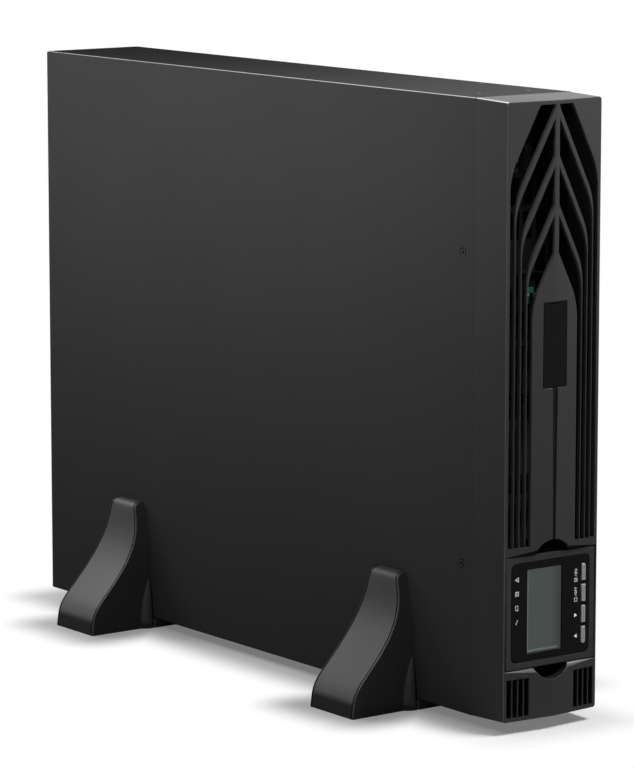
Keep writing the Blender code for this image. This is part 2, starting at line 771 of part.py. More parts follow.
def chevron_slot(index, side):
    """Air slot that leaves the centre rib on a slant and turns down into a straight slot."""
    slant = Vector((1, -CHEVRON_SLOPE)).normalized()
    outer = FRONT_HALF - VENT_MARGIN - index * SLOT_PITCH
    inner = outer - SLOT_WIDTH
    low_start = TOP - CHEVRON_DROP - index * CHEVRON_PITCH
    high_start = low_start + CHEVRON_SLOT
    ceiling = TOP - VENT_TOP_MARGIN
    bottom = DISPLAY_Z + DISPLAY_HALF + SLOT_END_GAP

    def slant_z(start, x):
        return start - CHEVRON_SLOPE * (x - CENTRE_RIB_HALF)

    points = [(CENTRE_RIB_HALF, min(high_start, ceiling))]
    if high_start > ceiling:
        points.append((CENTRE_RIB_HALF + (high_start - ceiling) / CHEVRON_SLOPE, ceiling))
    points += bend((outer, slant_z(high_start, outer)), slant, (0, -1))
    points += [(outer, bottom), (inner, bottom)]
    points += bend((inner, slant_z(low_start, inner)), slant, (0, -1))[::-1]
    points.append((CENTRE_RIB_HALF, low_start))
    return [(side * x, z) for x, z in points]


def lower_slot(index, side):
    centre = FRONT_HALF - VENT_MARGIN - index * SLOT_PITCH - SLOT_WIDTH / 2
    low = BASE + LOWER_SLOT_MARGIN
    high = DISPLAY_Z - DISPLAY_HALF - SLOT_END_GAP
    return rectangle((side * centre, (low + high) / 2), (SLOT_WIDTH, high - low))


def moon_block(name, up, radius, front, back):
    centre = (0, DISPLAY_Z + up * MOON_OFFSET)
    return prism(name, [circle(centre, radius, FINE_SIDES)], "XZ", front, back)


def lip_wedge(name, up):
    """Slanted lip where the ridge of the bezel meets the flat display."""
    edge = DISPLAY_Z + up * (DISPLAY_HALF + DISPLAY_GAP)
    run = BEZEL_RIDGE + CUT
    outline = [
        (FACE, edge), (FACE - run, edge + up * run * LIP_SLOPE),
        (FACE - run, edge - up * CUT), (FACE, edge - up * CUT),
    ]
    reach = DISPLAY_HALF + DISPLAY_GAP
    return prism(name, [outline], "YZ", -reach, reach)


def ridge_face(x):
    """Level of the bezel's front at a distance from its centre line."""
    return FACE - BEZEL_RIDGE * (1 - x / FRONT_HALF)


def badge_face():
    return ridge_face(BADGE_HALF)


def badge_outline(grow):
    size = (2 * (BADGE_HALF + grow), BADGE_HEIGHT + 2 * grow)
    return rectangle((0, TOP - BADGE_DROP - BADGE_HEIGHT / 2), size)


def build_bezel():
    bezel = bezel_block("front_bezel", 0, FACE, SEAM - GAP, BEZEL_CORNER)
    back = SEAM + CUT
    cut(bezel, bezel_block("bezel_hollow", BEZEL_WALL, FACE + BEZEL_WALL, back, BEZEL_CORNER))
    cup_radius = MOON_RADIUS + MOON_WALL
    cup_front = ridge_face(cup_radius) + GAP
    cup_back = FACE + MOON_DEPTH + MOON_WALL
    for hand, up in (("upper", 1), ("lower", -1)):
        join(bezel, moon_block("moon_cup_" + hand, up, cup_radius, cup_front, cup_back))
    posts = upper_posts() + [(0, BASE + LOWER_POST_RISE)]
    rings = [circle(post, POST_RADIUS, HOLE_SIDES) for post in posts]
    post_front = ridge_face(UPPER_POST_X + POST_RADIUS) + GAP
    join(bezel, prism("posts", rings, "XZ", post_front, FRAME_FRONT + POST_REACH))
    front = NOSE - CUT
    slots = []
    for index in range(SLOT_COUNT):
        for side in (-1, 1):
            slots += [chevron_slot(index, side), lower_slot(index, side)]
    cut(bezel, prism("air_slots", slots, "XZ", front, FACE + BEZEL_WALL + CUT))
    reach = DISPLAY_HALF + DISPLAY_GAP
    opening_low = (-reach, front, DISPLAY_Z - reach)
    cut(bezel, box("display_opening", opening_low, (reach, back, DISPLAY_Z + reach)))
    for hand, up in (("upper", 1), ("lower", -1)):
        cut(bezel, moon_block("moon_" + hand, up, MOON_RADIUS, front, FACE + MOON_DEPTH))
        cut(bezel, lip_wedge("lip_" + hand, up))
    seat = badge_face() + BADGE_THICKNESS + GAP
    cut(bezel, prism("badge_seat", [badge_outline(GAP)], "XZ", front, seat))
    groove_top = TOP - BADGE_DROP - BADGE_HEIGHT
    groove_low = DISPLAY_Z + MOON_OFFSET + MOON_RADIUS
    outline = [
        (-GROOVE_TOP_HALF, groove_top), (-GROOVE_LOW_HALF, groove_low - CUT),
        (GROOVE_LOW_HALF, groove_low - CUT), (GROOVE_TOP_HALF, groove_top),
    ]
    cut(bezel, prism("groove", [outline], "XZ", front, NOSE + GROOVE_DEPTH))
    finish(bezel, "black_plastic")
    badge_back = badge_face() + BADGE_THICKNESS
    finish(prism("badge_plate", [badge_outline(0)], "XZ", badge_face(), badge_back), "gloss_black")


# Display
def button_places():
    middle = (len(BUTTONS) - 1) / 2
    return {name: DISPLAY_Z + (row - middle) * BUTTON_PITCH for row, name in enumerate(BUTTONS)}


def button_outline(name, grow):
    """Key outline; the outer ends of the first and the last key in the row are round."""
    z = button_places()[name]
    half = BUTTON_WIDTH / 2 + grow
    low = z - BUTTON_HEIGHT / 2 - grow
    high = z + BUTTON_HEIGHT / 2 + grow
    lower_end = [(BUTTON_X - half, low), (BUTTON_X + half, low)]
    upper_end = [(BUTTON_X + half, high), (BUTTON_X - half, high)]
    if name == BUTTONS[0]:
        lower_end = arc((BUTTON_X, low + half), half, math.pi, math.tau, SMALL_SIDES)
    if name == BUTTONS[-1]:
        upper_end = arc((BUTTON_X, high - half), half, 0, math.pi, SMALL_SIDES)
    return lower_end + upper_end


def build_display():
    lcd_spot = (LCD_X, DISPLAY_Z)
    middle = (0, DISPLAY_Z)
    back = FACE + DISPLAY_DEPTH
    seat_back = FACE + PANEL_THICKNESS + GAP
    hollow_half = DISPLAY_HALF - DISPLAY_WALL
    window_half = PANEL_HALF - PANEL_LEDGE
    wall_back = seat_back + DISPLAY_WALL

    outline = rounded(middle, (2 * DISPLAY_HALF,) * 2, DISPLAY_EDGE, 1)
    housing = prism("display_housing", [outline], "XZ", FACE, back)
    hollow_low = (-hollow_half, wall_back, DISPLAY_Z - hollow_half)
    hollow_high = (hollow_half, back + CUT, DISPLAY_Z + hollow_half)
    hollow = box("display_hollow", hollow_low, hollow_high)
    outline = rounded(middle, (2 * (PANEL_HALF + GAP),) * 2, PANEL_CORNER, CURVE_STEPS)
    seat = prism("panel_seat", [outline], "XZ", FACE - CUT, seat_back)
    outline = rectangle(middle, (2 * window_half,) * 2)
    window = prism("panel_window", [outline], "XZ", FACE, wall_back + CUT)
    cut(housing, hollow, seat, window)
    finish(housing, "black_plastic")

    holes = [rectangle(lcd_spot, (LCD_WIDTH + 2 * GAP, LCD_HEIGHT + 2 * GAP))]
    holes += [button_outline(name, GAP) for name in BUTTONS]
    panel = [rounded(middle, (2 * PANEL_HALF,) * 2, PANEL_CORNER, CURVE_STEPS)]
    finish(prism("display_panel", panel + holes, "XZ", FACE, FACE + PANEL_THICKNESS), "gloss_black")
    window = [rectangle(lcd_spot, (LCD_WIDTH, LCD_HEIGHT))]
    front = FACE + LCD_SINK
    finish(prism("lcd_window", window, "XZ", front, front + LCD_THICKNESS), "lcd_grey")

    lip_front = seat_back
    stem_front = lip_front + BUTTON_LIP_THICKNESS
    stem_back = stem_front + BUTTON_STEM
    switch_front = stem_back + BUTTON_TRAVEL + GAP
    board_front = max(switch_front + SWITCH_HEIGHT, wall_back + GAP)
    board_half = hollow_half - GAP
    board = prism(
        "lcd_board", [rectangle(middle, (2 * board_half,) * 2)], "XZ",
        board_front, board_front + BOARD_THICKNESS,
    )
    pads = [rectangle((BUTTON_X, z), (BUTTON_WIDTH,) * 2) for z in button_places().values()]
    join(board, prism("switches", pads, "XZ", switch_front, board_front + BOARD_THICKNESS / 2))
    finish(board, "board_green")

    for name, z in button_places().items():
        button = prism(name, [button_outline(name, 0)], "XZ", FACE - BUTTON_PROUD, stem_front)
        lip = prism(name + "_lip", [button_outline(name, BUTTON_LIP)], "XZ", lip_front, stem_front)
        outline = rectangle((BUTTON_X, z), (BUTTON_WIDTH / 2,) * 2)
        stem = prism(name + "_stem", [outline], "XZ", lip_front, stem_back)
        join(button, lip, stem)
        finish(button, "button_grey")


# Battery pack
def build_battery_pack():
    outline = channel(-TRAY_OUT, -TRAY_IN, TRAY_LOW, TRAY_HIGH, SHEET, TRAY_BEND, 2)
    tray = prism("battery_tray", [mirrored(outline)], "XZ", TRAY_FRONT, TRAY_BACK)
    end_low = (TRAY_IN, TRAY_BACK - SHEET, TRAY_LOW + SHEET / 2)
    end_high = (TRAY_OUT - SHEET / 2, TRAY_BACK, TRAY_HIGH - SHEET / 2)
    join(tray, box("tray_end", end_low, end_high))
    finish(tray, "zinc")

    post = (0, BASE + LOWER_POST_RISE)
    size = (TRAY_OUT - TRAY_IN + TRAY_LIP, TRAY_HIGH - TRAY_LOW)
    centre = ((TRAY_OUT + TRAY_IN - TRAY_LIP) / 2, (TRAY_HIGH + TRAY_LOW) / 2)
    outlines = [rectangle(centre, size), circle(post, POST_RADIUS + SLIDE_GAP, HOLE_SIDES)]
    finish(prism("battery_door", outlines, "XZ", FRAME_FRONT, FRAME_BACK), "steel_paint")

    handle_z = BASE + HANDLE_RISE
    front = FRAME_FRONT - GAP - HANDLE_REACH
    back = FRAME_FRONT - GAP
    half = HANDLE_SPAN / 2
    foot = half + HANDLE_WIDTH
    foot_top = back - HANDLE_STRAP
    grip = half - HANDLE_STRAP
    grip_back = front + HANDLE_STRAP
    outline = [
        (-foot, back), (-foot, foot_top), (-half, foot_top), (-half, front),
        (half, front), (half, foot_top), (foot, foot_top), (foot, back),
        (grip, back), (grip, grip_back), (-grip, grip_back), (-grip, back),
    ]
    low = handle_z - HANDLE_WIDTH / 2
    finish(prism("pack_handle", [outline], "XY", low, low + HANDLE_WIDTH), "black_plastic")

    left = BATTERY_RIGHT - BATTERY[0]
    for layer in range(BATTERY_LAYERS):
        low = BATTERY_LOW + layer * LAYER_PITCH
        high = low + BATTERY[2]
        top_up = layer < BATTERY_LAYERS - 1
        for row in range(BATTERY_ROWS):
            front = BATTERY_FRONT + row * BATTERY_PITCH
            name = "battery_%d" % (layer * BATTERY_ROWS + row + 1)
            battery = box(name, (left, front, low), (BATTERY_RIGHT, front + BATTERY[1], high))
            soften(battery, BATTERY_EDGE)
            face, tip = (high, high + TERMINAL[2]) if top_up else (low, low - TERMINAL[2])
            inside = face - (tip - face)
            span = sorted((inside, tip))
            for end, y in (("a", front + TERMINAL_INSET), ("b", front + BATTERY[1] - TERMINAL_INSET)):
                x = left + TERMINAL_INSET
                tab = box(
                    name + "_tab_" + end, (x - TERMINAL[0] / 2, y - TERMINAL[1] / 2, span[0]),
                    (x + TERMINAL[0] / 2, y + TERMINAL[1] / 2, span[1]),
                )
                join(battery, tab)
            finish(battery, "battery_grey")

    plug_high = TRAY_HIGH - SHEET
    plug_low = plug_high - PLUG[2]
    plug_front = TRAY_BACK + GAP
    plug_back = plug_front + PLUG[1]
    plug = box("battery_plug", (-PLUG[0] / 2, plug_front, plug_low), (PLUG[0] / 2, plug_back, plug_high))
    middle = (plug_low + plug_high) / 2
    socket = box(
        "battery_socket", (-PLUG[0] / 2, SOCKET_FRONT, plug_low),
        (PLUG[0] / 2, SOCKET_FRONT + SOCKET_DEPTH, DIVIDER_LOW - GAP),
    )
    half_x = BLADE[0] / 2
    half_z = BLADE[2] / 2
    for hand, x in (("left", -BLADE_SPACING / 2), ("right", BLADE_SPACING / 2)):
        low = (x - half_x, SOCKET_FRONT - BLADE[1], middle - half_z)
        high = (x + half_x, SOCKET_FRONT + BLADE[1] / 2, middle + half_z)
        join(socket, box("blade_" + hand, low, high))
        room_low = (low[0] - SLIDE_GAP, low[1] - CUT, low[2] - SLIDE_GAP)
        room_high = (high[0] + SLIDE_GAP, plug_back + CUT, high[2] + SLIDE_GAP)
        cut(plug, box("blade_room_" + hand, room_low, room_high))
    finish(plug, "black_plastic")
    finish(socket, "black_plastic")


# Electronics
def board_hole_places():
    ys = (SEAM + BOARD_FRONT + BOARD_HOLE_INSET, REAR - BOARD_REAR - BOARD_HOLE_INSET)
    zs = (BOARD_LOW + BOARD_HOLE_INSET, BOARD_HIGH - BOARD_HOLE_INSET)
    return [(y, z) for y in ys for z in zs]


def build_heat_sink(name, front, low):
    height = (SINK_FINS - 1) * FIN_PITCH + FIN_THICKNESS
    root = SEAT - SINK_BASE
    points = [(SEAT, low), (SEAT, low + height)]
    for fin in reversed(range(SINK_FINS)):
        z = low + fin * FIN_PITCH
        points += [(root - FIN_LENGTH, z + FIN_THICKNESS), (root - FIN_LENGTH, z)]
        if fin:
            points += [(root, z), (root, z - FIN_PITCH + FIN_THICKNESS)]
    finish(prism(name, [points], "XZ", front, front + SINK_LENGTH), "aluminium")


def build_electronics():
    front = SEAM + BOARD_FRONT
    size = (CASE_DEPTH - BOARD_FRONT - BOARD_REAR, BOARD_HIGH - BOARD_LOW)
    centre = (front + size[0] / 2, (BOARD_LOW + BOARD_HIGH) / 2)
    finish(prism("main_board", [rectangle(centre, size)], "YZ", BOARD_IN, BOARD_OUT), "board_green")

    sink_low = BOARD_HIGH - PART_SPACING - (SINK_FINS - 1) * FIN_PITCH - FIN_THICKNESS
    for index, name in enumerate(("heat_sink_front", "heat_sink_rear")):
        build_heat_sink(name, front + PART_SPACING + index * (SINK_LENGTH + PART_SPACING), sink_low)

    y = front + PART_SPACING
    low = BOARD_LOW + PART_SPACING
    overhang = (WINDING[1] - CORE[1]) / 2
    inset = (CORE[0] - WINDING[0]) / 2
    margin = (CORE[2] - WINDING[2]) / 2
    core_low = (SEAT - CORE[0], y + overhang, low)
    core_high = (SEAT, y + overhang + CORE[1], low + CORE[2])
    core = box("transformer", core_low, core_high)
    winding_low = (core_low[0] + inset, y, low + margin)
    winding_high = (SEAT - inset, y + WINDING[1], core_high[2] - margin)
    join(core, box("winding", winding_low, winding_high))
    finish(core, "battery_grey")
    y += WINDING[1] + PART_SPACING

    ring = CHOKE_RADIUS + CHOKE_TUBE
    for name in ("input_choke", "output_choke"):
        profile = [(CHOKE_RADIUS + u, v) for u, v in circle((0, 0), CHOKE_TUBE, SMALL_SIDES)]
        spot = (SEAT - CHOKE_TUBE, y + ring, low + ring)
        finish(turned(name, profile, spot, (1, 0, 0), ROUND_SIDES), "copper")
        y += 2 * ring + PART_SPACING

    rim = CAPACITOR_RADIUS - CAPACITOR_RIM
    shoulder = CAPACITOR_LENGTH - CAPACITOR_RIM
    profile = [
        (0, CAPACITOR_LENGTH), (rim, CAPACITOR_LENGTH), (CAPACITOR_RADIUS, shoulder),
        (CAPACITOR_RADIUS, 0), (0, 0),
    ]
    for index in range(CAPACITOR_COUNT):
        spot = (SEAT, y + CAPACITOR_RADIUS, low + CAPACITOR_RADIUS)
        can = turned("capacitor_%d" % (index + 1), profile, spot, (-1, 0, 0), ROUND_SIDES)
        finish(can, "battery_grey")
        y += 2 * CAPACITOR_RADIUS + PART_SPACING

    low = DIVIDER_HIGH + GAP
    outline = rectangle((CONTROL_BOARD_X, low + CONTROL_BOARD[1] / 2), CONTROL_BOARD)
    front = SEAM + CONTROL_BOARD_Y
    finish(prism("control_board", [outline], "XZ", front, front + BOARD_THICKNESS), "board_green")


# Rear panel
def rear_rows():
    """Rows of pieces on the rear panel from the bottom up, each with its width and height."""
    fan = (FAN_SIZE, FAN_SIZE)
    nut = (2 * BREAKER_NUT_RADIUS,) * 2
    strip = grown(STRIP, FLANGE_LIP)
    return [
        {"mains_inlet": grown(INLET, FLANGE_LIP), "battery_port": grown(BATTERY_PORT, FLANGE_LIP)},
        {"outlet_strip_left": strip, "outlet_strip_right": strip},
        {"breaker": nut, "serial_port": SERIAL, "usb_port": USB},
        {"slot_cover": SLOT_COVER, "emergency_terminal": TERMINAL_BLOCK},
        {"fan_lower": fan},
        {"fan_upper": fan},
    ]


def rear_places():
    """Centre of each piece, spread evenly over the panel."""
    rows = rear_rows()
    heights = [max(height for _, height in row.values()) for row in rows]
    space = (ROOF_IN - FLOOR_IN - sum(heights)) / (len(rows) + 1)
    places = {}
    z = FLOOR_IN
    for row, row_height in zip(rows, heights):
        z += space + row_height / 2
        side_space = (2 * INSIDE - sum(width for width, _ in row.values())) / (len(row) + 1)
        x = -INSIDE
        for name, (width, _) in row.items():
            x += side_space + width / 2
            places[name] = (x, z)
            x += width / 2
        z += row_height / 2
    return places


def grown(size, amount):
    return tuple(side + 2 * amount for side in size)


def fan_screws(centre):
    reach = FAN_SIZE / 2 - FAN_SCREW_INSET
    return [(centre[0] + u * reach, centre[1] + v * reach) for u in (-1, 1) for v in (-1, 1)]


def build_rear_panel(places):
    middle = (0, (FLOOR_IN + ROOF_IN) / 2)
    outlines = [rectangle(middle, (2 * INSIDE, ROOF_IN - FLOOR_IN))]
    openings = {
        "mains_inlet": INLET,
        "battery_port": BATTERY_PORT,
        "outlet_strip_left": STRIP,
        "outlet_strip_right": STRIP,
        "usb_port": grown(USB, -USB_WALL),
        "serial_port": grown(SERIAL_SHELL, SERIAL_SKEW),
        "emergency_terminal": grown(TERMINAL_BLOCK, -USB_WALL),
        "slot_cover": grown(SLOT_COVER, -SLOT_COVER_LIP),
    }
    for name, size in openings.items():
        outlines.append(rectangle(places[name], grown(size, GAP)))
    outlines.append(circle(places["breaker"], BREAKER_RADIUS + GAP, ROUND_SIDES))
    for name in ("fan_lower", "fan_upper"):
        outlines.append(circle(places[name], FAN_BORE, FINE_SIDES))
        outlines += [circle(spot, FAN_SCREW_RADIUS, SMALL_SIDES) for spot in fan_screws(places[name])]
    finish(prism("rear_panel", outlines, "XZ", PANEL_BACK, REAR), "steel_paint")


def flanged_block(name, centre, size, depth, reach):
    """Port body through the panel with a flange that lies on its outside."""
    front = REAR - depth
    overlap = REAR + GAP + FLANGE_THICKNESS / 2
    body = prism(name, [rectangle(centre, size)], "XZ", front, overlap)
    outline = rectangle(centre, grown(size, FLANGE_LIP))
    return join(body, prism(name + "_flange", [outline], "XZ", REAR + GAP, REAR + reach))


def build_inlet(centre):
    reach = GAP + FLANGE_THICKNESS
    inlet = flanged_block("mains_inlet", centre, INLET, INLET_DEPTH, reach)
    floor = REAR + reach - INLET_CAVITY_DEPTH
    room = rounded(centre, INLET_CAVITY, INLET_CORNER, 2)
    cut(inlet, prism("inlet_room", [room], "XZ", floor, REAR + reach + CUT))
    x, z = centre
    pins = [(x, z + PIN_RISE), (x - PIN_SPREAD, z - PIN_RISE), (x + PIN_SPREAD, z - PIN_RISE)]
    outlines = [rectangle(pin, (PIN[0], PIN[2])) for pin in pins]
    join(inlet, prism("inlet_pins", outlines, "XZ", floor - CUT, floor + PIN[1]))
    finish(inlet, "black_plastic")


def build_battery_port(centre):
    port = flanged_block("battery_port", centre, BATTERY_PORT, BATTERY_PORT_DEPTH, PORT_REACH)
    x, z = centre
    rooms = [rectangle((x, z + side * PORT_CAVITY_SPREAD), PORT_CAVITY) for side in (-1, 1)]
    cut(port, prism("port_rooms", rooms, "XZ", REAR - BATTERY_PORT_DEPTH / 2, REAR + PORT_REACH + CUT))
    finish(port, "button_grey")


def outlet_outline(centre, size, chamfer):
    """Six-sided outline of an appliance outlet, two corners cut."""
    left, right = centre[0] - size[0] / 2, centre[0] + size[0] / 2
    low, high = centre[1] - size[1] / 2, centre[1] + size[1] / 2
    return [
        (left, low), (right, low), (right, high - chamfer),
        (right - chamfer, high), (left + chamfer, high), (left, high - chamfer),
    ]


def build_outlet_strip(name, centre):
    reach = GAP + FLANGE_THICKNESS
    strip = flanged_block(name, centre, STRIP, STRIP_DEPTH, reach)
    tongue = grown(OUTLET, -OUTLET_TRENCH)
    tongue_chamfer = OUTLET_CHAMFER - OUTLET_TRENCH / 2
    rooms = []
    for index in range(OUTLET_COUNT):
        x, z = centre[0], centre[1] + (index - (OUTLET_COUNT - 1) / 2) * OUTLET_PITCH
        rooms.append(outlet_outline((x, z), OUTLET, OUTLET_CHAMFER))
        rooms.append(outlet_outline((x, z), tongue, tongue_chamfer))
        for side in (-1, 0, 1):
            rise = OUTLET_SLOT_RISE * (1 if side == 0 else -1)
            rooms.append(rectangle((x + side * OUTLET_SLOT_SPREAD, z + rise), OUTLET_SLOT))
    floor = REAR + reach - OUTLET_DEPTH
    cut(strip, prism(name + "_rooms", rooms, "XZ", floor, REAR + reach + CUT))
    finish(strip, "black_plastic")


def build_small_ports(places):
    low = REAR - PORT_DEPTH
    skin = REAR + GAP
    centre = places["usb_port"]
    shell = rectangle(centre, grown(USB, -USB_WALL))
    usb = prism("usb_port", [shell], "XZ", low, skin + USB_WALL)
    join(usb, prism("usb_rim", [rectangle(centre, USB)], "XZ", skin, skin + 2 * USB_WALL))
    room = [rectangle(centre, grown(USB, -2 * USB_WALL)), rectangle(centre, USB_TONGUE)]
    cut(usb, prism("usb_room", room, "XZ", low + USB_WALL, skin + 2 * USB_WALL + CUT))
    finish(usb, "zinc")

    x, z = places["serial_port"]
    half_x, half_z = SERIAL_SHELL[0] / 2, SERIAL_SHELL[1] / 2
    shell = [
        (x - half_x + SERIAL_SKEW, z - half_z), (x + half_x - SERIAL_SKEW, z - half_z),
        (x + half_x, z + half_z), (x - half_x, z + half_z),
    ]
    serial = prism("serial_port", [shell], "XZ", low, REAR + SERIAL_REACH)
    flange = rectangle((x, z), SERIAL)
    join(serial, prism("serial_flange", [flange], "XZ", skin, skin + USB_WALL))
    finish(serial, "zinc")

    x, z = places["emergency_terminal"]
    inner = rectangle((x, z), grown(TERMINAL_BLOCK, -USB_WALL))
    face = REAR + TERMINAL_REACH
    block = prism("emergency_terminal", [inner], "XZ", low, skin + GAP)
    join(block, prism("terminal_face", [rectangle((x, z), TERMINAL_BLOCK)], "XZ", skin, face))
    spots = [(x + side * TERMINAL_HOLE_SPREAD, z) for side in (-1, 1)]
    rings = [circle(spot, TERMINAL_HOLE_RADIUS, SMALL_SIDES) for spot in spots]
    cut(block, prism("terminal_holes", rings, "XZ", face - TERMINAL_HOLE_DEPTH, face + CUT))
    finish(block, "terminal_green")

    x, z = places["slot_cover"]
    lid = prism("slot_cover", [rectangle((x, z), SLOT_COVER)], "XZ", skin, skin + SHEET)
    reach = SLOT_COVER[0] / 2 - SLOT_COVER_LIP / 2 - THUMB_RADIUS / 2
    rings = [circle((x + side * reach, z), THUMB_RADIUS, HOLE_SIDES) for side in (-1, 1)]
    join(lid, prism("thumb_screws", rings, "XZ", skin + SHEET / 2, REAR + THUMB_REACH))
    finish(lid, "steel_paint")


def build_breaker(centre):
    spot = (centre[0], REAR, centre[1])
    bore = BREAKER_BUTTON_RADIUS + GAP
    floor = -BREAKER_DEPTH / 2
    backward = (0, 1, 0)
    profile = [
        (0, -BREAKER_DEPTH), (BREAKER_RADIUS, -BREAKER_DEPTH), (BREAKER_RADIUS, GAP),
        (BREAKER_NUT_RADIUS, GAP), (BREAKER_NUT_RADIUS, BREAKER_NUT), (bore, BREAKER_NUT),
        (bore, floor), (0, floor),
    ]
    finish(turned("breaker_body", profile, spot, backward, ROUND_SIDES), "black_plastic")
    proud = BREAKER_NUT + BREAKER_BUTTON_PROUD
    low = floor + GAP
    profile = [(0, proud), (BREAKER_BUTTON_RADIUS, proud), (BREAKER_BUTTON_RADIUS, low), (0, low)]
    finish(turned("breaker_button", profile, spot, backward, ROUND_SIDES), "button_grey")


# Fans
def fan_plate(centre):
    """Square outline of a fan with its four screw holes."""
    square = rounded(centre, (FAN_SIZE,) * 2, FAN_SCREW_INSET, 1)
    return [square] + [circle(spot, FAN_SCREW_RADIUS, SMALL_SIDES) for spot in fan_screws(centre)]


def build_fan_frame(place, centre, front, back):
    outlines = fan_plate(centre) + [circle(centre, FAN_BORE, FINE_SIDES)]
    frame = prism("fan_frame_" + place, outlines, "XZ", front, back)
    span = 2 * FAN_BORE + FAN_WALL
    struts = {
        "strut_across_": rectangle(centre, (span, FAN_STRUT_WIDTH)),
        "strut_upright_": rectangle(centre, (FAN_STRUT_WIDTH, span)),
        "motor_mount_": circle(centre, FAN_HUB_RADIUS, ROUND_SIDES),
    }
    for name, outline in struts.items():
        join(frame, prism(name + place, [outline], "XZ", front, front + FAN_STRUT))
    finish(frame, "black_plastic")


def build_fan_rotor(place, centre, hub_front):
    spot = (centre[0], hub_front, centre[1])
    profile = [(0, ROTOR_LENGTH), (FAN_HUB_RADIUS, ROTOR_LENGTH), (FAN_HUB_RADIUS, 0), (0, 0)]
    rotor = turned("fan_rotor_" + place, profile, spot, (0, 1, 0), ROUND_SIDES)
    tip = FAN_BORE - ROTOR_TIP_GAP
    root = FAN_HUB_RADIUS - BLADE_ROOT
    size = Matrix.Diagonal((tip - root, BLADE_CHORD, BLADE_THICKNESS, 1))
    outward = Matrix.Translation(((tip + root) / 2, 0, ROTOR_LENGTH / 2))
    blade = outward @ Matrix.Rotation(BLADE_PITCH, 4, "X") @ size
    mesh = bpy.data.meshes.new("blades_" + place)
    work = bmesh.new()
    for index in range(BLADES):
        turn = Matrix.Rotation(index * math.tau / BLADES, 4, "Z")
        bmesh.ops.create_cube(work, size=1, matrix=turn @ blade)
    work.to_mesh(mesh)
    work.free()
    blades = add_object("blades_" + place, mesh, spot)
    blades.rotation_euler = rotor.rotation_euler
    join(rotor, blades)
    finish(rotor, "black_plastic")


def build_fan_guard(place, centre):
    """Pressed guard: rings of arc openings between spokes on the diagonals."""
    openings = []
    step = (FAN_BORE - FAN_HUB_RADIUS) / GUARD_RINGS
    span = math.pi / GUARD_SECTORS
    for ring in range(GUARD_RINGS):
        inner = FAN_HUB_RADIUS + ring * step
        outer = inner + step - GUARD_WIRE
        near = span - GUARD_WIRE / inner
        far = span - GUARD_WIRE / outer
        for sector in range(GUARD_SECTORS):
            middle = math.tau * sector / GUARD_SECTORS
            outer_edge = arc(centre, outer, middle - far, middle + far, GUARD_STEPS)
            inner_edge = arc(centre, inner, middle + near, middle - near, GUARD_STEPS)
            openings.append(outer_edge + inner_edge)
    low = REAR + GAP
    outlines = fan_plate(centre) + openings
    finish(prism("fan_guard_" + place, outlines, "XZ", low, low + GUARD_THICKNESS), "zinc")


def build_fan(place, centre):
    back = PANEL_BACK - GAP
    front = back - FAN_DEPTH
    build_fan_frame(place, centre, front, back)
    build_fan_rotor(place, centre, front + FAN_STRUT + SLIDE_GAP)
    build_fan_guard(place, centre)


def build_rear():
    places = rear_places()
    build_rear_panel(places)
    build_inlet(places["mains_inlet"])
    build_battery_port(places["battery_port"])
    for name in ("outlet_strip_left", "outlet_strip_right"):
        build_outlet_strip(name, places[name])
    build_small_ports(places)
    build_breaker(places["breaker"])
    for place in ("lower", "upper"):
        build_fan(place, places["fan_" + place])


build_case()
build_front_frame()
build_feet()
build_bezel()
build_display()
build_battery_pack()
build_electronics()
build_rear()
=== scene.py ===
import json
import math

import bmesh
import bpy
from mathutils import Matrix, Vector


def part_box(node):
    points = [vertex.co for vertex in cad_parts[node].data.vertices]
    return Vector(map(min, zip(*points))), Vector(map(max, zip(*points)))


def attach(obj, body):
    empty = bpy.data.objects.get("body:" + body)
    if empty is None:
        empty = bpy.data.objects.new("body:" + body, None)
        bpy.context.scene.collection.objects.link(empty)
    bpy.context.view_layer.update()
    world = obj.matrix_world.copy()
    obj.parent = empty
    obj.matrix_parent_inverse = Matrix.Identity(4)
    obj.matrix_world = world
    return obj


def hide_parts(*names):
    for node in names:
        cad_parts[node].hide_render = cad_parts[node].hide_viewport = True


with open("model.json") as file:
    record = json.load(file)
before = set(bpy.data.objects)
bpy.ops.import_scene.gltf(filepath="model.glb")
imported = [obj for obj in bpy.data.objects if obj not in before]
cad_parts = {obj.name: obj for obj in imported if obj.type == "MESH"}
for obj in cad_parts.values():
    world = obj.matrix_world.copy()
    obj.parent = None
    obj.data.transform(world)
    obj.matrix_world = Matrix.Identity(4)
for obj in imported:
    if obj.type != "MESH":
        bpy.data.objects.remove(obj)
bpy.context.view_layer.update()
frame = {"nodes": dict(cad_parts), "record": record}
nodes = frame["nodes"]
slotOf = {s["node"]: s["material_slot"] for s in frame["record"]["subparts"]}
bodyOf = {n: b for b, members in frame["record"]["behaviour"]["bodies"].items() for n in members}
scene = bpy.context.scene
scene.view_settings.view_transform = "Standard"
print("frame loaded,", len(nodes), "nodes")


def placeObject(name, data):
    obj = bpy.data.objects.new(name, data)
    scene.collection.objects.link(obj)
    return obj


# camera
cameraSpec = {
    "place": (-1.74724, -2.37781, 0.6771),
    "azimuth": -36.512,
    "elevation": 9.02,
    "lens": 184.66,
    "sensor": 36.0,     # along the picture's height
    "clipEnd": 50,
}


def aimCamera(spec):
    data = bpy.data.cameras.new("photoCamera")
    data.lens = spec["lens"]
    data.sensor_width = data.sensor_height = spec["sensor"]
    data.sensor_fit = "VERTICAL"
    data.clip_end = spec["clipEnd"]
    a = math.radians(spec["azimuth"])
    e = math.radians(spec["elevation"])
    back = Vector((math.sin(a) * math.cos(e), -math.cos(a) * math.cos(e), math.sin(e)))
    right = Vector((math.cos(a), math.sin(a), 0))
    up = back.cross(right)
    turn = Matrix((right, up, back)).transposed().to_4x4()
    camera = placeObject("photoCamera", data)
    camera.matrix_world = Matrix.Translation(spec["place"]) @ turn
    scene.camera = camera


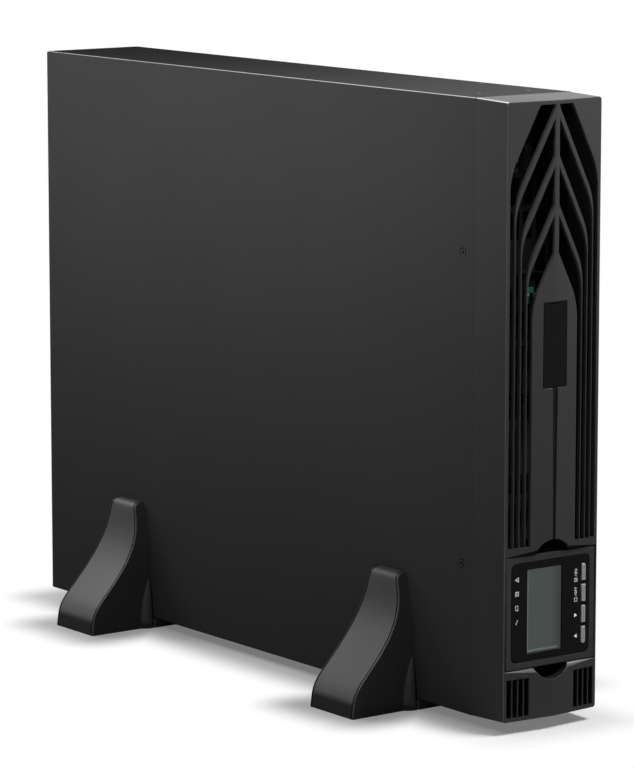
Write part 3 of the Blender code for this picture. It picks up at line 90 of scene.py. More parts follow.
aimCamera(cameraSpec)
print("camera set")


# small node helpers
def setInputs(node, values):
    for key, value in values.items():
        node.inputs[key].default_value = value


def addNode(tree, kind, values=None, **settings):
    node = tree.nodes.new("ShaderNode" + kind)
    for key, value in settings.items():
        setattr(node, key, value)
    setInputs(node, values or {})
    return node


# each link: a node, its output, the next node and its input
def joinNodes(tree, *links):
    for source, output, target, entry in links:
        tree.links.new(source.outputs[output], target.inputs[entry])


def newGroup(name, inputs, outputs):
    group = bpy.data.node_groups.new(name, "ShaderNodeTree")
    for label, value in inputs.items():
        socket = group.interface.new_socket(label, in_out="INPUT", socket_type="NodeSocketFloat")
        socket.default_value = value
    for label in outputs:
        group.interface.new_socket(label, in_out="OUTPUT", socket_type="NodeSocketFloat")
    return group, group.nodes.new("NodeGroupInput"), group.nodes.new("NodeGroupOutput")


def useGroup(tree, group, values):
    return addNode(tree, "Group", values, node_tree=group)


# grain and soft patches of a moulded or coated surface
def makeGrainGroup():
    group, given, made = newGroup(
        "surfaceGrain", {"Grain Scale": 1500.0, "Patch Scale": 14.0}, ("Height", "Patch"))
    place = addNode(group, "TexCoord")
    fine = addNode(group, "TexNoise", {"Detail": 3.0, "Roughness": 0.55})
    wide = addNode(group, "TexNoise", {"Detail": 4.0, "Roughness": 0.6})
    for noise, scale, label in ((fine, "Grain Scale", "Height"), (wide, "Patch Scale", "Patch")):
        joinNodes(
            group, (place, "Object", noise, "Vector"), (given, scale, noise, "Scale"),
            (noise, "Fac", made, label))
    return group


# how much an edge or corner turns within a radius
def makeEdgeGroup():
    group, given, made = newGroup("edgeRub", {"Radius": 0.0008, "Gain": 2.0}, ("Mask",))
    rounded = addNode(group, "Bevel", samples=6)
    flat = addNode(group, "NewGeometry")
    turn = addNode(group, "VectorMath", operation="DOT_PRODUCT")
    off = addNode(group, "Math", {0: 1.0}, operation="SUBTRACT")
    gain = addNode(group, "Math", operation="MULTIPLY", use_clamp=True)
    joinNodes(
        group,
        (given, "Radius", rounded, "Radius"), (rounded, "Normal", turn, 0), (flat, "Normal", turn, 1),
        (turn, "Value", off, 1), (off, "Value", gain, 0), (given, "Gain", gain, 1),
        (gain, "Value", made, "Mask"),
    )
    return group


# long fine lines of rolled, drawn or brushed metal
def makeLineGroup():
    group, given, made = newGroup(
        "drawnLines", {"Across X": 900.0, "Across Y": 8.0, "Across Z": 900.0}, ("Height",))
    place = addNode(group, "TexCoord")
    stretch = addNode(group, "CombineXYZ")
    scaled = addNode(group, "VectorMath", operation="MULTIPLY")
    lines = addNode(group, "TexNoise", {"Scale": 1.0, "Detail": 5.0, "Roughness": 0.7})
    for axis in "XYZ":
        joinNodes(group, (given, "Across " + axis, stretch, axis))
    joinNodes(
        group,
        (place, "Object", scaled, 0), (stretch, "Vector", scaled, 1),
        (scaled, "Vector", lines, "Vector"), (lines, "Fac", made, "Height"),
    )
    return group


# copper tracks and pads under a board's green mask
def makeTrackGroup():
    group, given, made = newGroup("boardTracks", {"Pitch": 220.0}, ("Track", "Pad"))
    place = addNode(group, "TexCoord")
    tracks = addNode(group, "TexVoronoi", feature="F2", distance="MANHATTAN")
    pads = addNode(group, "TexVoronoi", feature="F1")
    for pattern, limit, label in ((tracks, 0.62, "Track"), (pads, 0.16, "Pad")):
        below = addNode(group, "Math", {1: limit}, operation="LESS_THAN")
        joinNodes(
            group,
            (place, "Object", pattern, "Vector"), (given, "Pitch", pattern, "Scale"),
            (pattern, "Distance", below, 0), (below, "Value", made, label),
        )
    return group


grainGroup = makeGrainGroup()
edgeGroup = makeEdgeGroup()
lineGroup = makeLineGroup()
trackGroup = makeTrackGroup()


def newMaterial(name):
    material = bpy.data.materials.new(name)
    material.use_nodes = True
    tree = material.node_tree
    return material, tree, tree.nodes["Principled BSDF"]


# one colour laid over another where a mask says
def layColour(tree, under, over, mask):
    layer = addNode(tree, "Mix", {"B": (*over, 1)}, data_type="RGBA")
    joinNodes(tree, (*under, layer, "A"), (*mask, layer, "Factor"))
    return layer, "Result"


# what a finish has unless its own values say otherwise
plainFinish = {
    "metal": 0.0, "specular": 0.4, "patch": 14.0, "roughSwing": 0.05, "bump": 0.2, "depth": 0.00005,
}


# one finish: patchy colour, rubbed edges, uneven gloss and a fine bump
def makeFinish(name, values):
    spec = {**plainFinish, **values}
    material, tree, shader = newMaterial(name)
    setInputs(shader, {"Metallic": spec["metal"], "Specular IOR Level": spec["specular"]})
    grain = useGroup(tree, grainGroup, {"Grain Scale": spec["grain"], "Patch Scale": spec["patch"]})
    height, blend = (grain, "Height"), (grain, "Patch")
    if "lines" in spec:
        across = {"Across " + axis: scale for axis, scale in zip("XYZ", spec["lines"])}
        lines = useGroup(tree, lineGroup, across)
        height = blend = lines, "Height"
    tint = addNode(
        tree, "Mix", {"A": (*spec["colour"], 1), "B": (*spec["patchColour"], 1)}, data_type="RGBA")
    joinNodes(tree, (*blend, tint, "Factor"))
    colour = tint, "Result"
    if "tracks" in spec:
        board = useGroup(tree, trackGroup, {"Pitch": spec["tracks"]})
        colour = layColour(tree, colour, spec["trackColour"], (board, "Track"))
        colour = layColour(tree, colour, spec["padColour"], (board, "Pad"))
    # a second colour blended in along one axis; on the feet's toes it is a painted highlight
    if "shade" in spec:
        axis, start, end, shade = spec["shade"]
        place = addNode(tree, "TexCoord")
        split = addNode(tree, "SeparateXYZ")
        along = addNode(
            tree, "MapRange", {"From Min": start, "From Max": end}, interpolation_type="SMOOTHSTEP")
        joinNodes(tree, (place, "Object", split, 0), (split, axis, along, "Value"))
        colour = layColour(tree, colour, shade, (along, "Result"))
    if "edgeColour" in spec:
        rub = useGroup(tree, edgeGroup, {"Radius": spec["edge"]})
        colour = layColour(tree, colour, spec["edgeColour"], (rub, "Mask"))
    rough, swing = spec["rough"], spec["roughSwing"]
    gloss = addNode(tree, "MapRange", {"To Min": rough - swing, "To Max": rough + swing})
    bump = addNode(tree, "Bump", {"Strength": spec["bump"], "Distance": spec["depth"]})
    joinNodes(
        tree,
        (*colour, shader, "Base Color"),
        (grain, "Patch", gloss, "Value"), (gloss, "Result", shader, "Roughness"),
        (*height, bump, "Height"), (bump, "Normal", shader, "Normal"),
    )
    return material


# greys lean a hair to blue
def grey(level, blue=0.001):
    return level, level, level + blue


def tints(colour, patchColour):
    return {"colour": colour, "patchColour": patchColour}


def greys(level, patchLevel, blue=0.001):
    return tints(grey(level, blue), grey(patchLevel, blue))


# what the finishes of the feet, the screen and the keys share
footFinish = {"grain": 1000.0, "depth": 0.00006}
lcdFinish = {"roughSwing": 0.04, "grain": 1600.0, "patch": 60.0, "bump": 0.05, "depth": 0.00003}
keyFinish = {"roughSwing": 0.06, "grain": 1800.0, "patch": 120.0, "bump": 0.1, "depth": 0.00004}

finishes = {
    "casePaint": {
        **greys(0.034, 0.030), "rough": 0.8, "specular": 0.0, "grain": 1700.0, "bump": 0.25,
        "depth": 0.00006,
    },
    # light line on the top-left bends: a painted highlight
    "bendHighlight": {
        **greys(0.30, 0.24, 0), "rough": 0.35, "roughSwing": 0.06, "grain": 1700.0, "patch": 90.0,
        "depth": 0.00004,
    },
    # lighter walls inside the slots, facing left: painted light
    "paintedLightSlotWalls": {**greys(0.060, 0.050), "rough": 0.8, "specular": 0.02, "grain": 1100.0},
    # near black: the front frame's own paint, and painted shade deep in the bezel and in the feet's grooves
    "blackAndPaintedShade": {**greys(0.008, 0.006, 0.0005), "rough": 0.8, "specular": 0.02, "grain": 1500.0},
    # lighter plastic on the upward ledges of the lower bezel, as if lit from above: painted light; the ear
    # screw heads share it
    "paintedLitPlastic": {
        **greys(0.085, 0.060), "rough": 0.4, "roughSwing": 0.06, "specular": 0.2, "grain": 1300.0,
        "patch": 420.0, "bump": 0.3, "depth": 0.00006,
    },
    "bezelPlastic": {
        **greys(0.027, 0.023), "rough": 0.3, "roughSwing": 0.04, "specular": 0.05, "grain": 1200.0,
    },
    # lighter, unglossy outer sides of the bezel: a lit copy of the bezel plastic, painted light
    "bezelSide": {**greys(0.036, 0.031), "rough": 0.6, "specular": 0.0, "grain": 1200.0},
    "cornerGloss": {
        **greys(0.027, 0.023), "rough": 0.3, "roughSwing": 0.04, "specular": 0.5, "grain": 1200.0,
        "bump": 0.1, "depth": 0.00004,
    },
    "footPlastic": {**footFinish, **greys(0.026, 0.022), "rough": 0.55, "specular": 0.2},
    # upright face of the toe, lighter towards its top: a painted highlight running into the shoulder
    "toeFace": {
        **footFinish, **greys(0.038, 0.034), "rough": 0.6, "specular": 0.0,
        "shade": ("Z", 0.0085, 0.0150, grey(0.150)),
    },
    # shoulder of the toe, lighter towards its bottom: a painted highlight
    "toeShoulder": {
        **footFinish, **greys(0.027, 0.023), "rough": 0.55, "specular": 0.22,
        "shade": ("Z", 0.0203, 0.0150, grey(0.060)),
    },
    # lighter rim beside the groove: a painted highlight
    "footRimHighlight": {**footFinish, **greys(0.046, 0.040), "rough": 0.45, "specular": 0.2},
    # lighter front and back faces of the feet, which lie in the case's shadow: painted light
    "litFootSide": {
        **greys(0.042, 0.036), "rough": 0.7, "roughSwing": 0.06, "specular": 0.02, "grain": 800.0,
        "bump": 0.3, "depth": 0.00008,
    },
    "glossBlack": {
        **tints(grey(0.004, 0.0004), grey(0.006, 0.0005)), "rough": 0.25, "roughSwing": 0.04,
        "specular": 0.02, "grain": 700.0, "bump": 0.05, "depth": 0.00003,
    },
    "lcdGlass": {
        **lcdFinish, **tints((0.029, 0.043, 0.039), (0.025, 0.037, 0.034)), "rough": 0.2, "patch": 30.0,
        "shade": ("X", -0.0005, 0.0105, (0.008, 0.012, 0.011)),
    },
    # light strip and line on the glass: a painted highlight
    "lcdPaintedHighlight": {**lcdFinish, **tints((0.10, 0.118, 0.11), (0.085, 0.10, 0.094)), "rough": 0.25},
    # dark line along the bottom of the glass: painted shade
    "lcdPaintedShade": {
        **lcdFinish, **tints((0.012, 0.015, 0.014), (0.010, 0.012, 0.011)), "rough": 0.3, "specular": 0.2,
    },
    # darker dish floor of the keys: painted shade; also the plain grey of the battery port and breaker key
    "keyFloor": {**keyFinish, **greys(0.145, 0.125, 0), "rough": 0.4},
    "keyPlastic": {**keyFinish, **greys(0.235, 0.20, 0), "rough": 0.28, "specular": 0.5},
    "markWhite": {
        **greys(0.80, 0.72, 0), "rough": 0.5, "grain": 2500.0, "patch": 400.0, "bump": 0.1,
        "depth": 0.00002,
    },
    "zincPlate": {
        **tints((0.22, 0.226, 0.232), (0.29, 0.297, 0.304)), "rough": 0.42, "roughSwing": 0.08,
        "metal": 1.0, "grain": 800.0, "lines": (900.0, 10.0, 900.0), "bump": 0.12, "depth": 0.00004,
    },
    "boardGreen": {
        **tints((0.006, 0.070, 0.042), (0.008, 0.090, 0.054)), "rough": 0.35, "roughSwing": 0.06,
        "grain": 1500.0, "bump": 0.1, "tracks": 240.0, "trackColour": (0.010, 0.13, 0.075),
        "padColour": (0.42, 0.42, 0.40),
    },
    # darker copy of the board green for the main board, which sits in shade: painted shade
    "paintedShadeBoard": {
        **tints((0.004, 0.045, 0.021), (0.006, 0.058, 0.028)), "rough": 0.45, "roughSwing": 0.06,
        "specular": 0.2, "grain": 1500.0, "bump": 0.1, "tracks": 200.0,
        "trackColour": (0.008, 0.085, 0.041), "padColour": (0.30, 0.30, 0.28),
    },
    "batteryCase": {
        **tints((0.085, 0.09, 0.095), (0.065, 0.07, 0.075)), "rough": 0.5, "roughSwing": 0.08,
        "grain": 900.0, "bump": 0.25, "depth": 0.00008, "edge": 0.0012, "edgeColour": (0.14, 0.145, 0.15),
    },
    "bareAluminium": {
        **tints((0.52, 0.53, 0.54), (0.62, 0.63, 0.64)), "rough": 0.36, "roughSwing": 0.08, "metal": 1.0,
        "grain": 900.0, "lines": (1100.0, 9.0, 1100.0), "bump": 0.15, "depth": 0.00004,
    },
    "copperWinding": {
        **tints((0.45, 0.17, 0.06), (0.62, 0.28, 0.11)), "rough": 0.3, "roughSwing": 0.06, "metal": 1.0,
        "grain": 900.0, "lines": (120.0, 1500.0, 120.0), "bump": 0.5, "depth": 0.0003,
    },
    "screwBlack": {
        **greys(0.040, 0.034), "rough": 0.6, "roughSwing": 0.08, "specular": 0.05, "grain": 2200.0,
        "depth": 0.00004,
    },
    "fanPlastic": {
        **greys(0.022, 0.018), "rough": 0.38, "specular": 0.3, "grain": 1300.0, "bump": 0.15,
        "depth": 0.00004,
    },
    "socketPlastic": {
        **greys(0.020, 0.026), "rough": 0.45, "roughSwing": 0.06, "specular": 0.3, "grain": 1100.0,
        "patch": 60.0, "bump": 0.25,
    },
    "contactTin": {
        **tints((0.56, 0.55, 0.52), (0.66, 0.65, 0.62)), "rough": 0.28, "roughSwing": 0.06, "metal": 1.0,
        "grain": 1500.0, "lines": (1200.0, 40.0, 1200.0), "bump": 0.1, "depth": 0.00003,
    },
    "terminalPlastic": {
        **tints((0.02, 0.20, 0.07), (0.015, 0.16, 0.055)), "rough": 0.4, "roughSwing": 0.06,
        "specular": 0.45, "grain": 1400.0, "bump": 0.15,
    },
}
materials = {name: makeFinish(name, values) for name, values in finishes.items()}
slotFinish = {
    "steel_paint": "casePaint", "zinc": "zincPlate", "black_plastic": "bezelPlastic",
    "gloss_black": "glossBlack", "lcd_grey": "lcdGlass", "button_grey": "keyPlastic",
    "board_green": "boardGreen", "battery_grey": "batteryCase", "aluminium": "bareAluminium",
    "copper": "copperWinding", "terminal_green": "terminalPlastic",
}
# the main board gets the darker board green as painted shade
nodeFinish = {"front_frame": "blackAndPaintedShade", "main_board": "paintedShadeBoard"}
for name, obj in nodes.items():
    obj.data.materials.clear()
    obj.data.materials.append(materials[nodeFinish.get(name, slotFinish[slotOf[name]])])
print("finishes made,", len(materials))

# how close points merge and cuts snap, and the angles, in degrees, of flat and sharp edges
meshSpec = {"merge": 0.000002, "snap": 0.0000005, "flat": 0.3, "sharp": 40}


def newMesh(name, bm):
    mesh = bpy.data.meshes.new(name)
    bm.to_mesh(mesh)
    bm.free()
    return mesh


# a finished piece at the origin, riding on a body
def addPiece(name, bm, finish, body="chassis", stands=()):
    mesh = newMesh(name, bm)
    mesh.shade_smooth()
    mesh.set_sharp_from_angle(angle=math.radians(meshSpec["sharp"]))
    mesh.materials.append(materials[finish])
    piece = placeObject(name, mesh)
    piece.modifiers.new("evenNormals", "WEIGHTED_NORMAL").keep_sharp = True
    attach(piece, body)
    if stands:
        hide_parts(*stands)
    return piece


# a piece that stands for a node, on the node's body, with the node hidden
def standFor(node, name, bm, finish):
    return addPiece(name, bm, finish, bodyOf[node], (node,))


# another finish on the faces that pass a test
def addFinish(piece, finish, test):
    mesh = piece.data
    mesh.materials.append(materials[finish])
    for face in mesh.polygons:
        if test(face.center, face.normal):
            face.material_index = len(mesh.materials) - 1


# small mesh helpers
def bevelEdges(bm, edges, width, steps, clamp):
    bmesh.ops.bevel(
        bm, geom=edges, offset=width, offset_type="OFFSET", segments=steps, profile=0.5,
        affect="EDGES", clamp_overlap=clamp, material=-1)


def insetFaces(bm, faces, width, rise=0, even=True):
    return bmesh.ops.inset_region(
        bm, faces=faces, thickness=width, depth=rise, use_even_offset=even)["faces"]


def raiseFaces(bm, faces, step):
    raised = bmesh.ops.extrude_face_region(bm, geom=faces)["geom"]
    verts = [part for part in raised if isinstance(part, bmesh.types.BMVert)]
    bmesh.ops.translate(bm, verts=verts, vec=step)
    return [part for part in raised if isinstance(part, bmesh.types.BMFace)]


def cutAcross(bm, place, across):
    whole = bm.verts[:] + bm.edges[:] + bm.faces[:]
    bmesh.ops.bisect_plane(bm, geom=whole, dist=meshSpec["snap"], plane_co=place, plane_no=across)


def faceOutward(bm):
    bmesh.ops.recalc_face_normals(bm, faces=bm.faces)


def edgesOf(verts):
    return list(dict.fromkeys(edge for vert in verts for edge in vert.link_edges))


def chain(bm, points):
    verts = [bm.verts.new(point) for point in points]
    return verts + [bm.edges.new(pair) for pair in zip(verts, verts[1:])]


# full turn about an axis along Y
def turnRound(bm, profile, centre, steps):
    bmesh.ops.spin(
        bm, geom=profile, cent=centre, axis=(0, 1, 0), angle=math.tau, steps=steps,
        use_merge=True, use_duplicate=False)


# merged copy of a node, with the sharp edges that are picked rounded
def roundedCopy(node, width=0, steps=0, pick=None, angle=meshSpec["sharp"]):
    bm = bmesh.new()
    bm.from_mesh(nodes[node].data)
    bmesh.ops.remove_doubles(bm, verts=bm.verts, dist=meshSpec["merge"])
    bmesh.ops.dissolve_limit(
        bm, angle_limit=math.radians(meshSpec["flat"]), verts=bm.verts, edges=bm.edges, delimit={"NORMAL"})
    if pick:
        sharp = []
        for edge in bm.edges:
            if len(edge.link_faces) == 2 and edge.calc_face_angle(0) > math.radians(angle):
                if pick((edge.verts[0].co + edge.verts[1].co) / 2, edge):
                    sharp.append(edge)
        bevelEdges(bm, sharp, width, steps, False)
    return bm


def replaceNode(node, piece, finish, width=0, steps=0, pick=None):
    return standFor(node, piece, roundedCopy(node, width, steps, pick), finish)


def turnTo(direction):
    return Vector((0, 0, 1)).rotation_difference(direction).to_matrix().to_4x4()


def middleOf(node):
    low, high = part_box(node)
    return (low + high) / 2


# bezel; a tilt is the least share of a face's normal that points the way meant
bezelSpec = {
    "width": 0.0005, "steps": 3, "depth": 0.0008, "sideIn": 0.00085,
    "skin": 0.0013, "wall": 0.0006,     # walls further in than these are rough and painted near black as shade
    "lipLow": 0.040, "lipHigh": 0.0466, "lipDeep": 0.0006, "lipTilt": 0.3,
    "bend": 0.003, "bendTilt": (0.2, 0.7), "corner": 0.0012, "cornerTilt": 0.3,
    "side": 0.0005, "sideTilt": 0.9, "slotsAbove": 0.03, "slotTilt": 0.5,
}
bezelLow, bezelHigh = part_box("front_bezel")
panelLow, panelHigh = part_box("display_panel")
faceY = panelLow.y
ridgeRise = faceY - bezelLow.y
frontHalf = bezelHigh.x - bezelSpec["sideIn"]


def behindFace(spot):
    return spot.y - faceY + ridgeRise * (1 - abs(spot.x) / frontHalf)


def nearFace(spot, edge):
    return behindFace(spot) < bezelSpec["depth"]


# faces deep inside the bezel, painted near black as shade
def insideBezel(spot, normal):
    skin = bezelSpec["skin"]
    within = abs(spot.x) < frontHalf - skin and bezelLow.z + skin < spot.z < bezelHigh.z - skin
    return within and behindFace(spot) > bezelSpec["wall"]


# slot walls facing left, painted lighter as if lit
def inSlots(spot, normal):
    facing = normal.x < -bezelSpec["slotTilt"] and spot.z > panelHigh.z + bezelSpec["slotsAbove"]
    return facing and insideBezel(spot, normal)


# upward ledges of the lower bezel, painted lighter as light from above
def onLip(spot, normal):
    level = bezelSpec["lipLow"] < spot.z < bezelSpec["lipHigh"] and spot.y < faceY + bezelSpec["lipDeep"]
    return level and normal.z > bezelSpec["lipTilt"]


# outer side faces of the bezel, painted lighter
def onSide(spot, normal):
    return abs(normal.x) > bezelSpec["sideTilt"] and abs(spot.x) > frontHalf - bezelSpec["side"]


def onCorner(spot, normal):
    tilt = bezelSpec["cornerTilt"]
    return abs(normal.x) > tilt and normal.y < -tilt and abs(spot.x) > frontHalf - bezelSpec["corner"]


# faces of the top-left bend that carry the painted highlight line
def onBend(spot, normal):
    left, up = bezelSpec["bendTilt"]
    return spot.z > bezelHigh.z - bezelSpec["bend"] and normal.x < -left and normal.z > up


bezel = replaceNode(
    "front_bezel", "bezelShell", "bezelPlastic", bezelSpec["width"], bezelSpec["steps"], nearFace)
for finish, test in (
        ("blackAndPaintedShade", insideBezel), ("paintedLightSlotWalls", inSlots), ("paintedLitPlastic", onLip),
        ("bezelSide", onSide), ("cornerGloss", onCorner), ("bendHighlight", onBend)):
    addFinish(bezel, finish, test)
print("bezel made")

# case cover, with a painted highlight along its top-left bend
cover = replaceNode("cover", "coverSkin", "casePaint")
addFinish(cover, "bendHighlight", onBend)
print("cover made")

# feet
footSpec = {
    "width": 0.0010, "steps": 3, "angle": 50, "groove": 0.0013, "sink": 0.0005, "wall": 0.00006,
    "middleRoom": 0.004, "clear": 0.0445, "slack": 0.0008, "bandFloor": 0.0005, "rimFloor": 0.0002,
    "rimOut": 0.056, "rimHigh": 0.046, "toeOut": 0.090, "toe": 0.0140, "shoulder": 0.0203,
    "bandTilt": 0.2, "flankTilt": 0.7, "sideTilt": 0.95, "endTilt": 0.05, "alongShare": 0.5,
    "finishes": ("footPlastic", "litFootSide", "footRimHighlight", "blackAndPaintedShade", "toeFace", "toeShoulder"),
}


# rounded rim, and a fine groove between the swept band and the rim; the rim gets a painted highlight, the
# groove painted shade, the flat sides painted light and the toe a painted highlight
def makeFoot(node, spec):
    low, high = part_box(node)
    middle = (low.y + high.y) / 2
    side = -1 if low.x + high.x < 0 else 1
    indexOf = {finish: index for index, finish in enumerate(spec["finishes"])}
    bandTilt, sideTilt = spec["bandTilt"], spec["sideTilt"]

    def onBand(face):
        spot, normal = face.calc_center_median(), face.normal
        central = abs(spot.y - middle) < spec["middleRoom"] and abs(normal.y) < bandTilt
        outside = abs(spot.x) > spec["clear"] - spec["slack"] and spot.z > spec["bandFloor"]
        return central and outside and side * normal.x + normal.z > bandTilt

    def onRim(spot, edge):
        faces = edge.link_faces
        flanked = any(abs(face.normal.y) > spec["flankTilt"] for face in faces)
        outside = abs(spot.x) > spec["clear"] and spot.z > spec["rimFloor"]
        return flanked and outside and any(onBand(face) for face in faces)

    bm = roundedCopy(node, spec["width"], spec["steps"], onRim, spec["angle"])
    for face in bm.faces:
        spot = face.calc_center_median()
        out, across = abs(spot.x), abs(face.normal.y)
        if across > sideTilt and abs(face.normal.x) < spec["endTilt"]:
            face.material_index = indexOf["litFootSide"]
        elif bandTilt < across < sideTilt and (spot.z > spec["rimHigh"] or out > spec["rimOut"]):
            face.material_index = indexOf["footRimHighlight"]
        elif out > spec["toeOut"] and across < bandTilt and spot.z < spec["shoulder"]:
            face.material_index = indexOf["toeFace" if spot.z < spec["toe"] else "toeShoulder"]
    # the groove is painted near black as shade
    strips = []
    for face in insetFaces(bm, [face for face in bm.faces if onBand(face)], spec["groove"]):
        longest = max(face.edges, key=lambda edge: edge.calc_length())
        start, end = longest.verts
        if abs(start.co.y - end.co.y) < spec["alongShare"] * longest.calc_length():
            strips.append(face)
            face.material_index = indexOf["blackAndPaintedShade"]
    for face in insetFaces(bm, strips, spec["wall"], -spec["sink"]):
        face.material_index = indexOf["blackAndPaintedShade"]
    foot = standFor(node, node.replace("foot", "towerFoot"), bm, spec["finishes"][0])
    for finish in spec["finishes"][1:]:
        foot.data.materials.append(materials[finish])


for node in ("foot_front_left", "foot_front_right", "foot_rear_left", "foot_rear_right"):
    makeFoot(node, footSpec)
print("feet made")

# display
displaySpec = {
    # width and steps of the rounded front edges
    "housing": (0.0006, 3), "panel": (0.0003, 2), "glass": (0.0003, 2), "badge": (0.0003, 2),
    "key": (0.0008, 4), "frontRoom": 0.0002,
    "keyShy": 0.0003, "keyNarrow": 0.89, "keyRim": 0.0007, "keyDish": 0.0003,
    "keyTop": 0.00005, "keyFloor": (0.0001, 0.001), "keyTilt": 0.99,
    "lcdLines": (0.0007, 0.0014, 0.0028), "lcdSide": 0.0009, "lcdLineEnd": 0.0275, "lcdTilt": 0.5,
}


def onFront(level):
    return lambda spot, edge: spot.y < level + displaySpec["frontRoom"]


replaceNode("display_housing", "displayHousing", "bezelPlastic", *displaySpec["housing"], onFront(faceY))
replaceNode("display_panel", "displayFace", "glossBlack", *displaySpec["panel"], onFront(faceY))


# glass with a painted highlight down its left edge, and a painted highlight and a painted shade line along
# its bottom
def makeGlass(spec):
    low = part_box("lcd_window")[0]
    bm = roundedCopy("lcd_window", *spec["glass"], onFront(low.y))
    bottom, middle, top = [low.z + rise for rise in spec["lcdLines"]]
    side, end = low.x + spec["lcdSide"], low.x + spec["lcdLineEnd"]
    for level in (bottom, middle, top):
        cutAcross(bm, (0, 0, level), (0, 0, 1))
    for x in (side, end):
        cutAcross(bm, (x, 0, 0), (1, 0, 0))
    glass = standFor("lcd_window", "displayGlass", bm, "lcdGlass")
    tilt = -spec["lcdTilt"]
    addFinish(glass, "lcdPaintedHighlight", lambda spot, normal: normal.y < tilt and (
        spot.x < side or middle < spot.z < top and spot.x < end))
    addFinish(glass, "lcdPaintedShade", lambda spot, normal: normal.y < tilt and (
        bottom < spot.z < middle and spot.x < end))


def makeKey(node, spec):
    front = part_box(node)[0].y
    middle = middleOf(node)
    bm = roundedCopy(node, *spec["key"], onFront(front))
    for vert in bm.verts:
        vert.co.x = middle.x + (vert.co.x - middle.x) * spec["keyNarrow"]
        vert.co.z += math.copysign(spec["keyShy"], middle.z - vert.co.z)
    tilt, level = -spec["keyTilt"], front + spec["keyTop"]
    flat = [face for face in bm.faces if face.normal.y < tilt and face.calc_center_median().y < level]
    insetFaces(bm, flat, spec["keyRim"], -spec["keyDish"])
    key = standFor(node, node.replace("button", "key"), bm, "keyPlastic")
    # the sunk dish of the key is painted darker as shade
    near, far = spec["keyFloor"]
    addFinish(key, "keyFloor", lambda spot, normal: normal.y < tilt and near < spot.y - front < far)


makeGlass(displaySpec)
for node in ("button_on", "button_off", "button_down", "button_up"):
    makeKey(node, displaySpec)
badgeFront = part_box("badge_plate")[0].y
replaceNode("badge_plate", "badgeBlank", "glossBlack", *displaySpec["badge"], onFront(badgeFront))
print("display made")


# screw head with a sunk cross, set on its place
def screwHead(bm, place, outward, spec):
    outward = Vector(outward)
    move = Matrix.Translation(place) @ turnTo(outward)
    edge, arm, half = spec["edge"], spec["arm"], spec["half"]
    between = (arm + half) / 2
    corner = [(arm, 0), (arm, half), (between, half), (half, half), (half, between), (half, arm)]
    quarters = [Matrix.Rotation(quarter * math.tau / 4, 2) for quarter in range(4)]
    cross = [quarter @ Vector(spot) for quarter in quarters for spot in corner]
    foot = move @ Matrix.Translation((0, 0, -spec["height"]))
    verts = bmesh.ops.create_circle(
        bm, cap_ends=True, segments=len(cross), radius=spec["radius"], matrix=foot)["verts"]
    disc = verts[0].link_faces[0]
    disc.normal_update()
    if disc.normal.dot(outward) < 0:
        bmesh.ops.reverse_faces(bm, faces=[disc])
    top = raiseFaces(bm, [disc], outward * (spec["height"] - edge))
    steps = [(0.3 * edge, 0.7 * edge), (0.7 * edge, 0.3 * edge)]    # width and rise of each turned step
    if "ring" in spec:
        ring = spec["ring"]
        steps += [(ring, -0.4 * ring), (0.1 * ring, 0.4 * ring)]
    for width, rise in steps + [(0.1 * edge, 0)]:
        insetFaces(bm, top, width, rise)
    flat = move.inverted()

    def bearing(vert):
        spot = flat @ vert.co
        return (math.atan2(spot.y, spot.x) + 0.01) % math.tau   # a hair on, so that none falls at the seam

    # the innermost ring is drawn in to a cross and sunk
    for vert, (u, v) in zip(sorted(top[0].verts, key=bearing), cross):
        vert.co = move @ Vector((u, v, 0))
    insetFaces(bm, top, 0.2 * half, -spec["sink"])
    faceOutward(bm)


# a set of screws as one piece
def addScrews(name, places, outward, spec, finish, body="chassis", stands=()):
    bm = bmesh.new()
    for place in places:
        screwHead(bm, place, outward, spec)
    return addPiece(name, bm, finish, body, stands)


sideScrewSpec = {
    "radius": 0.0036, "edge": 0.0001, "height": 0.0011, "arm": 0.0015, "half": 0.0005, "sink": 0.0008,
    "ring": 0.0010, "proud": 0.00006, "dark": 0.00008,
}
for node in ("side_screw_upper", "side_screw_lower"):
    place = middleOf(node)
    place.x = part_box(node)[0].x - sideScrewSpec["proud"]
    name = node.replace("side_screw", "sideScrew")
    screw = addScrews(name, [place], (-1, 0, 0), sideScrewSpec, "screwBlack", stands=(node,))
    # the sunk ring and cross are painted gloss black as shade
    addFinish(screw, "glossBlack", lambda spot, normal: spot.x > place.x + sideScrewSpec["dark"])

# flush screws in the holes for the rack ears
earSpec = {
    "radius": 0.00236, "edge": 0.0001, "height": 0.0011, "arm": 0.0011, "half": 0.0003, "sink": 0.0006,
    "ring": 0.0005, "drop": 0.00005, "dark": 0.00004,
    "spots": ((-0.0165, 0.028), (0.027, 0.028), (0.037, 0.092)),
}
coverLow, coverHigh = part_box("cover")
for name, edge, up in (("earScrewsTop", coverHigh.z, 1), ("earScrewsBottom", coverLow.z, -1)):
    level = edge - up * earSpec["drop"]
    places = [(x, coverLow.y + y, level) for x, y in earSpec["spots"]]
    screws = addScrews(name, places, (0, 0, up), earSpec, "paintedLitPlastic")
    # the sunk ring and cross are painted gloss black as shade
    addFinish(screws, "glossBlack", lambda spot, normal: abs(spot.z - level) > earSpec["dark"])
print("case screws made")

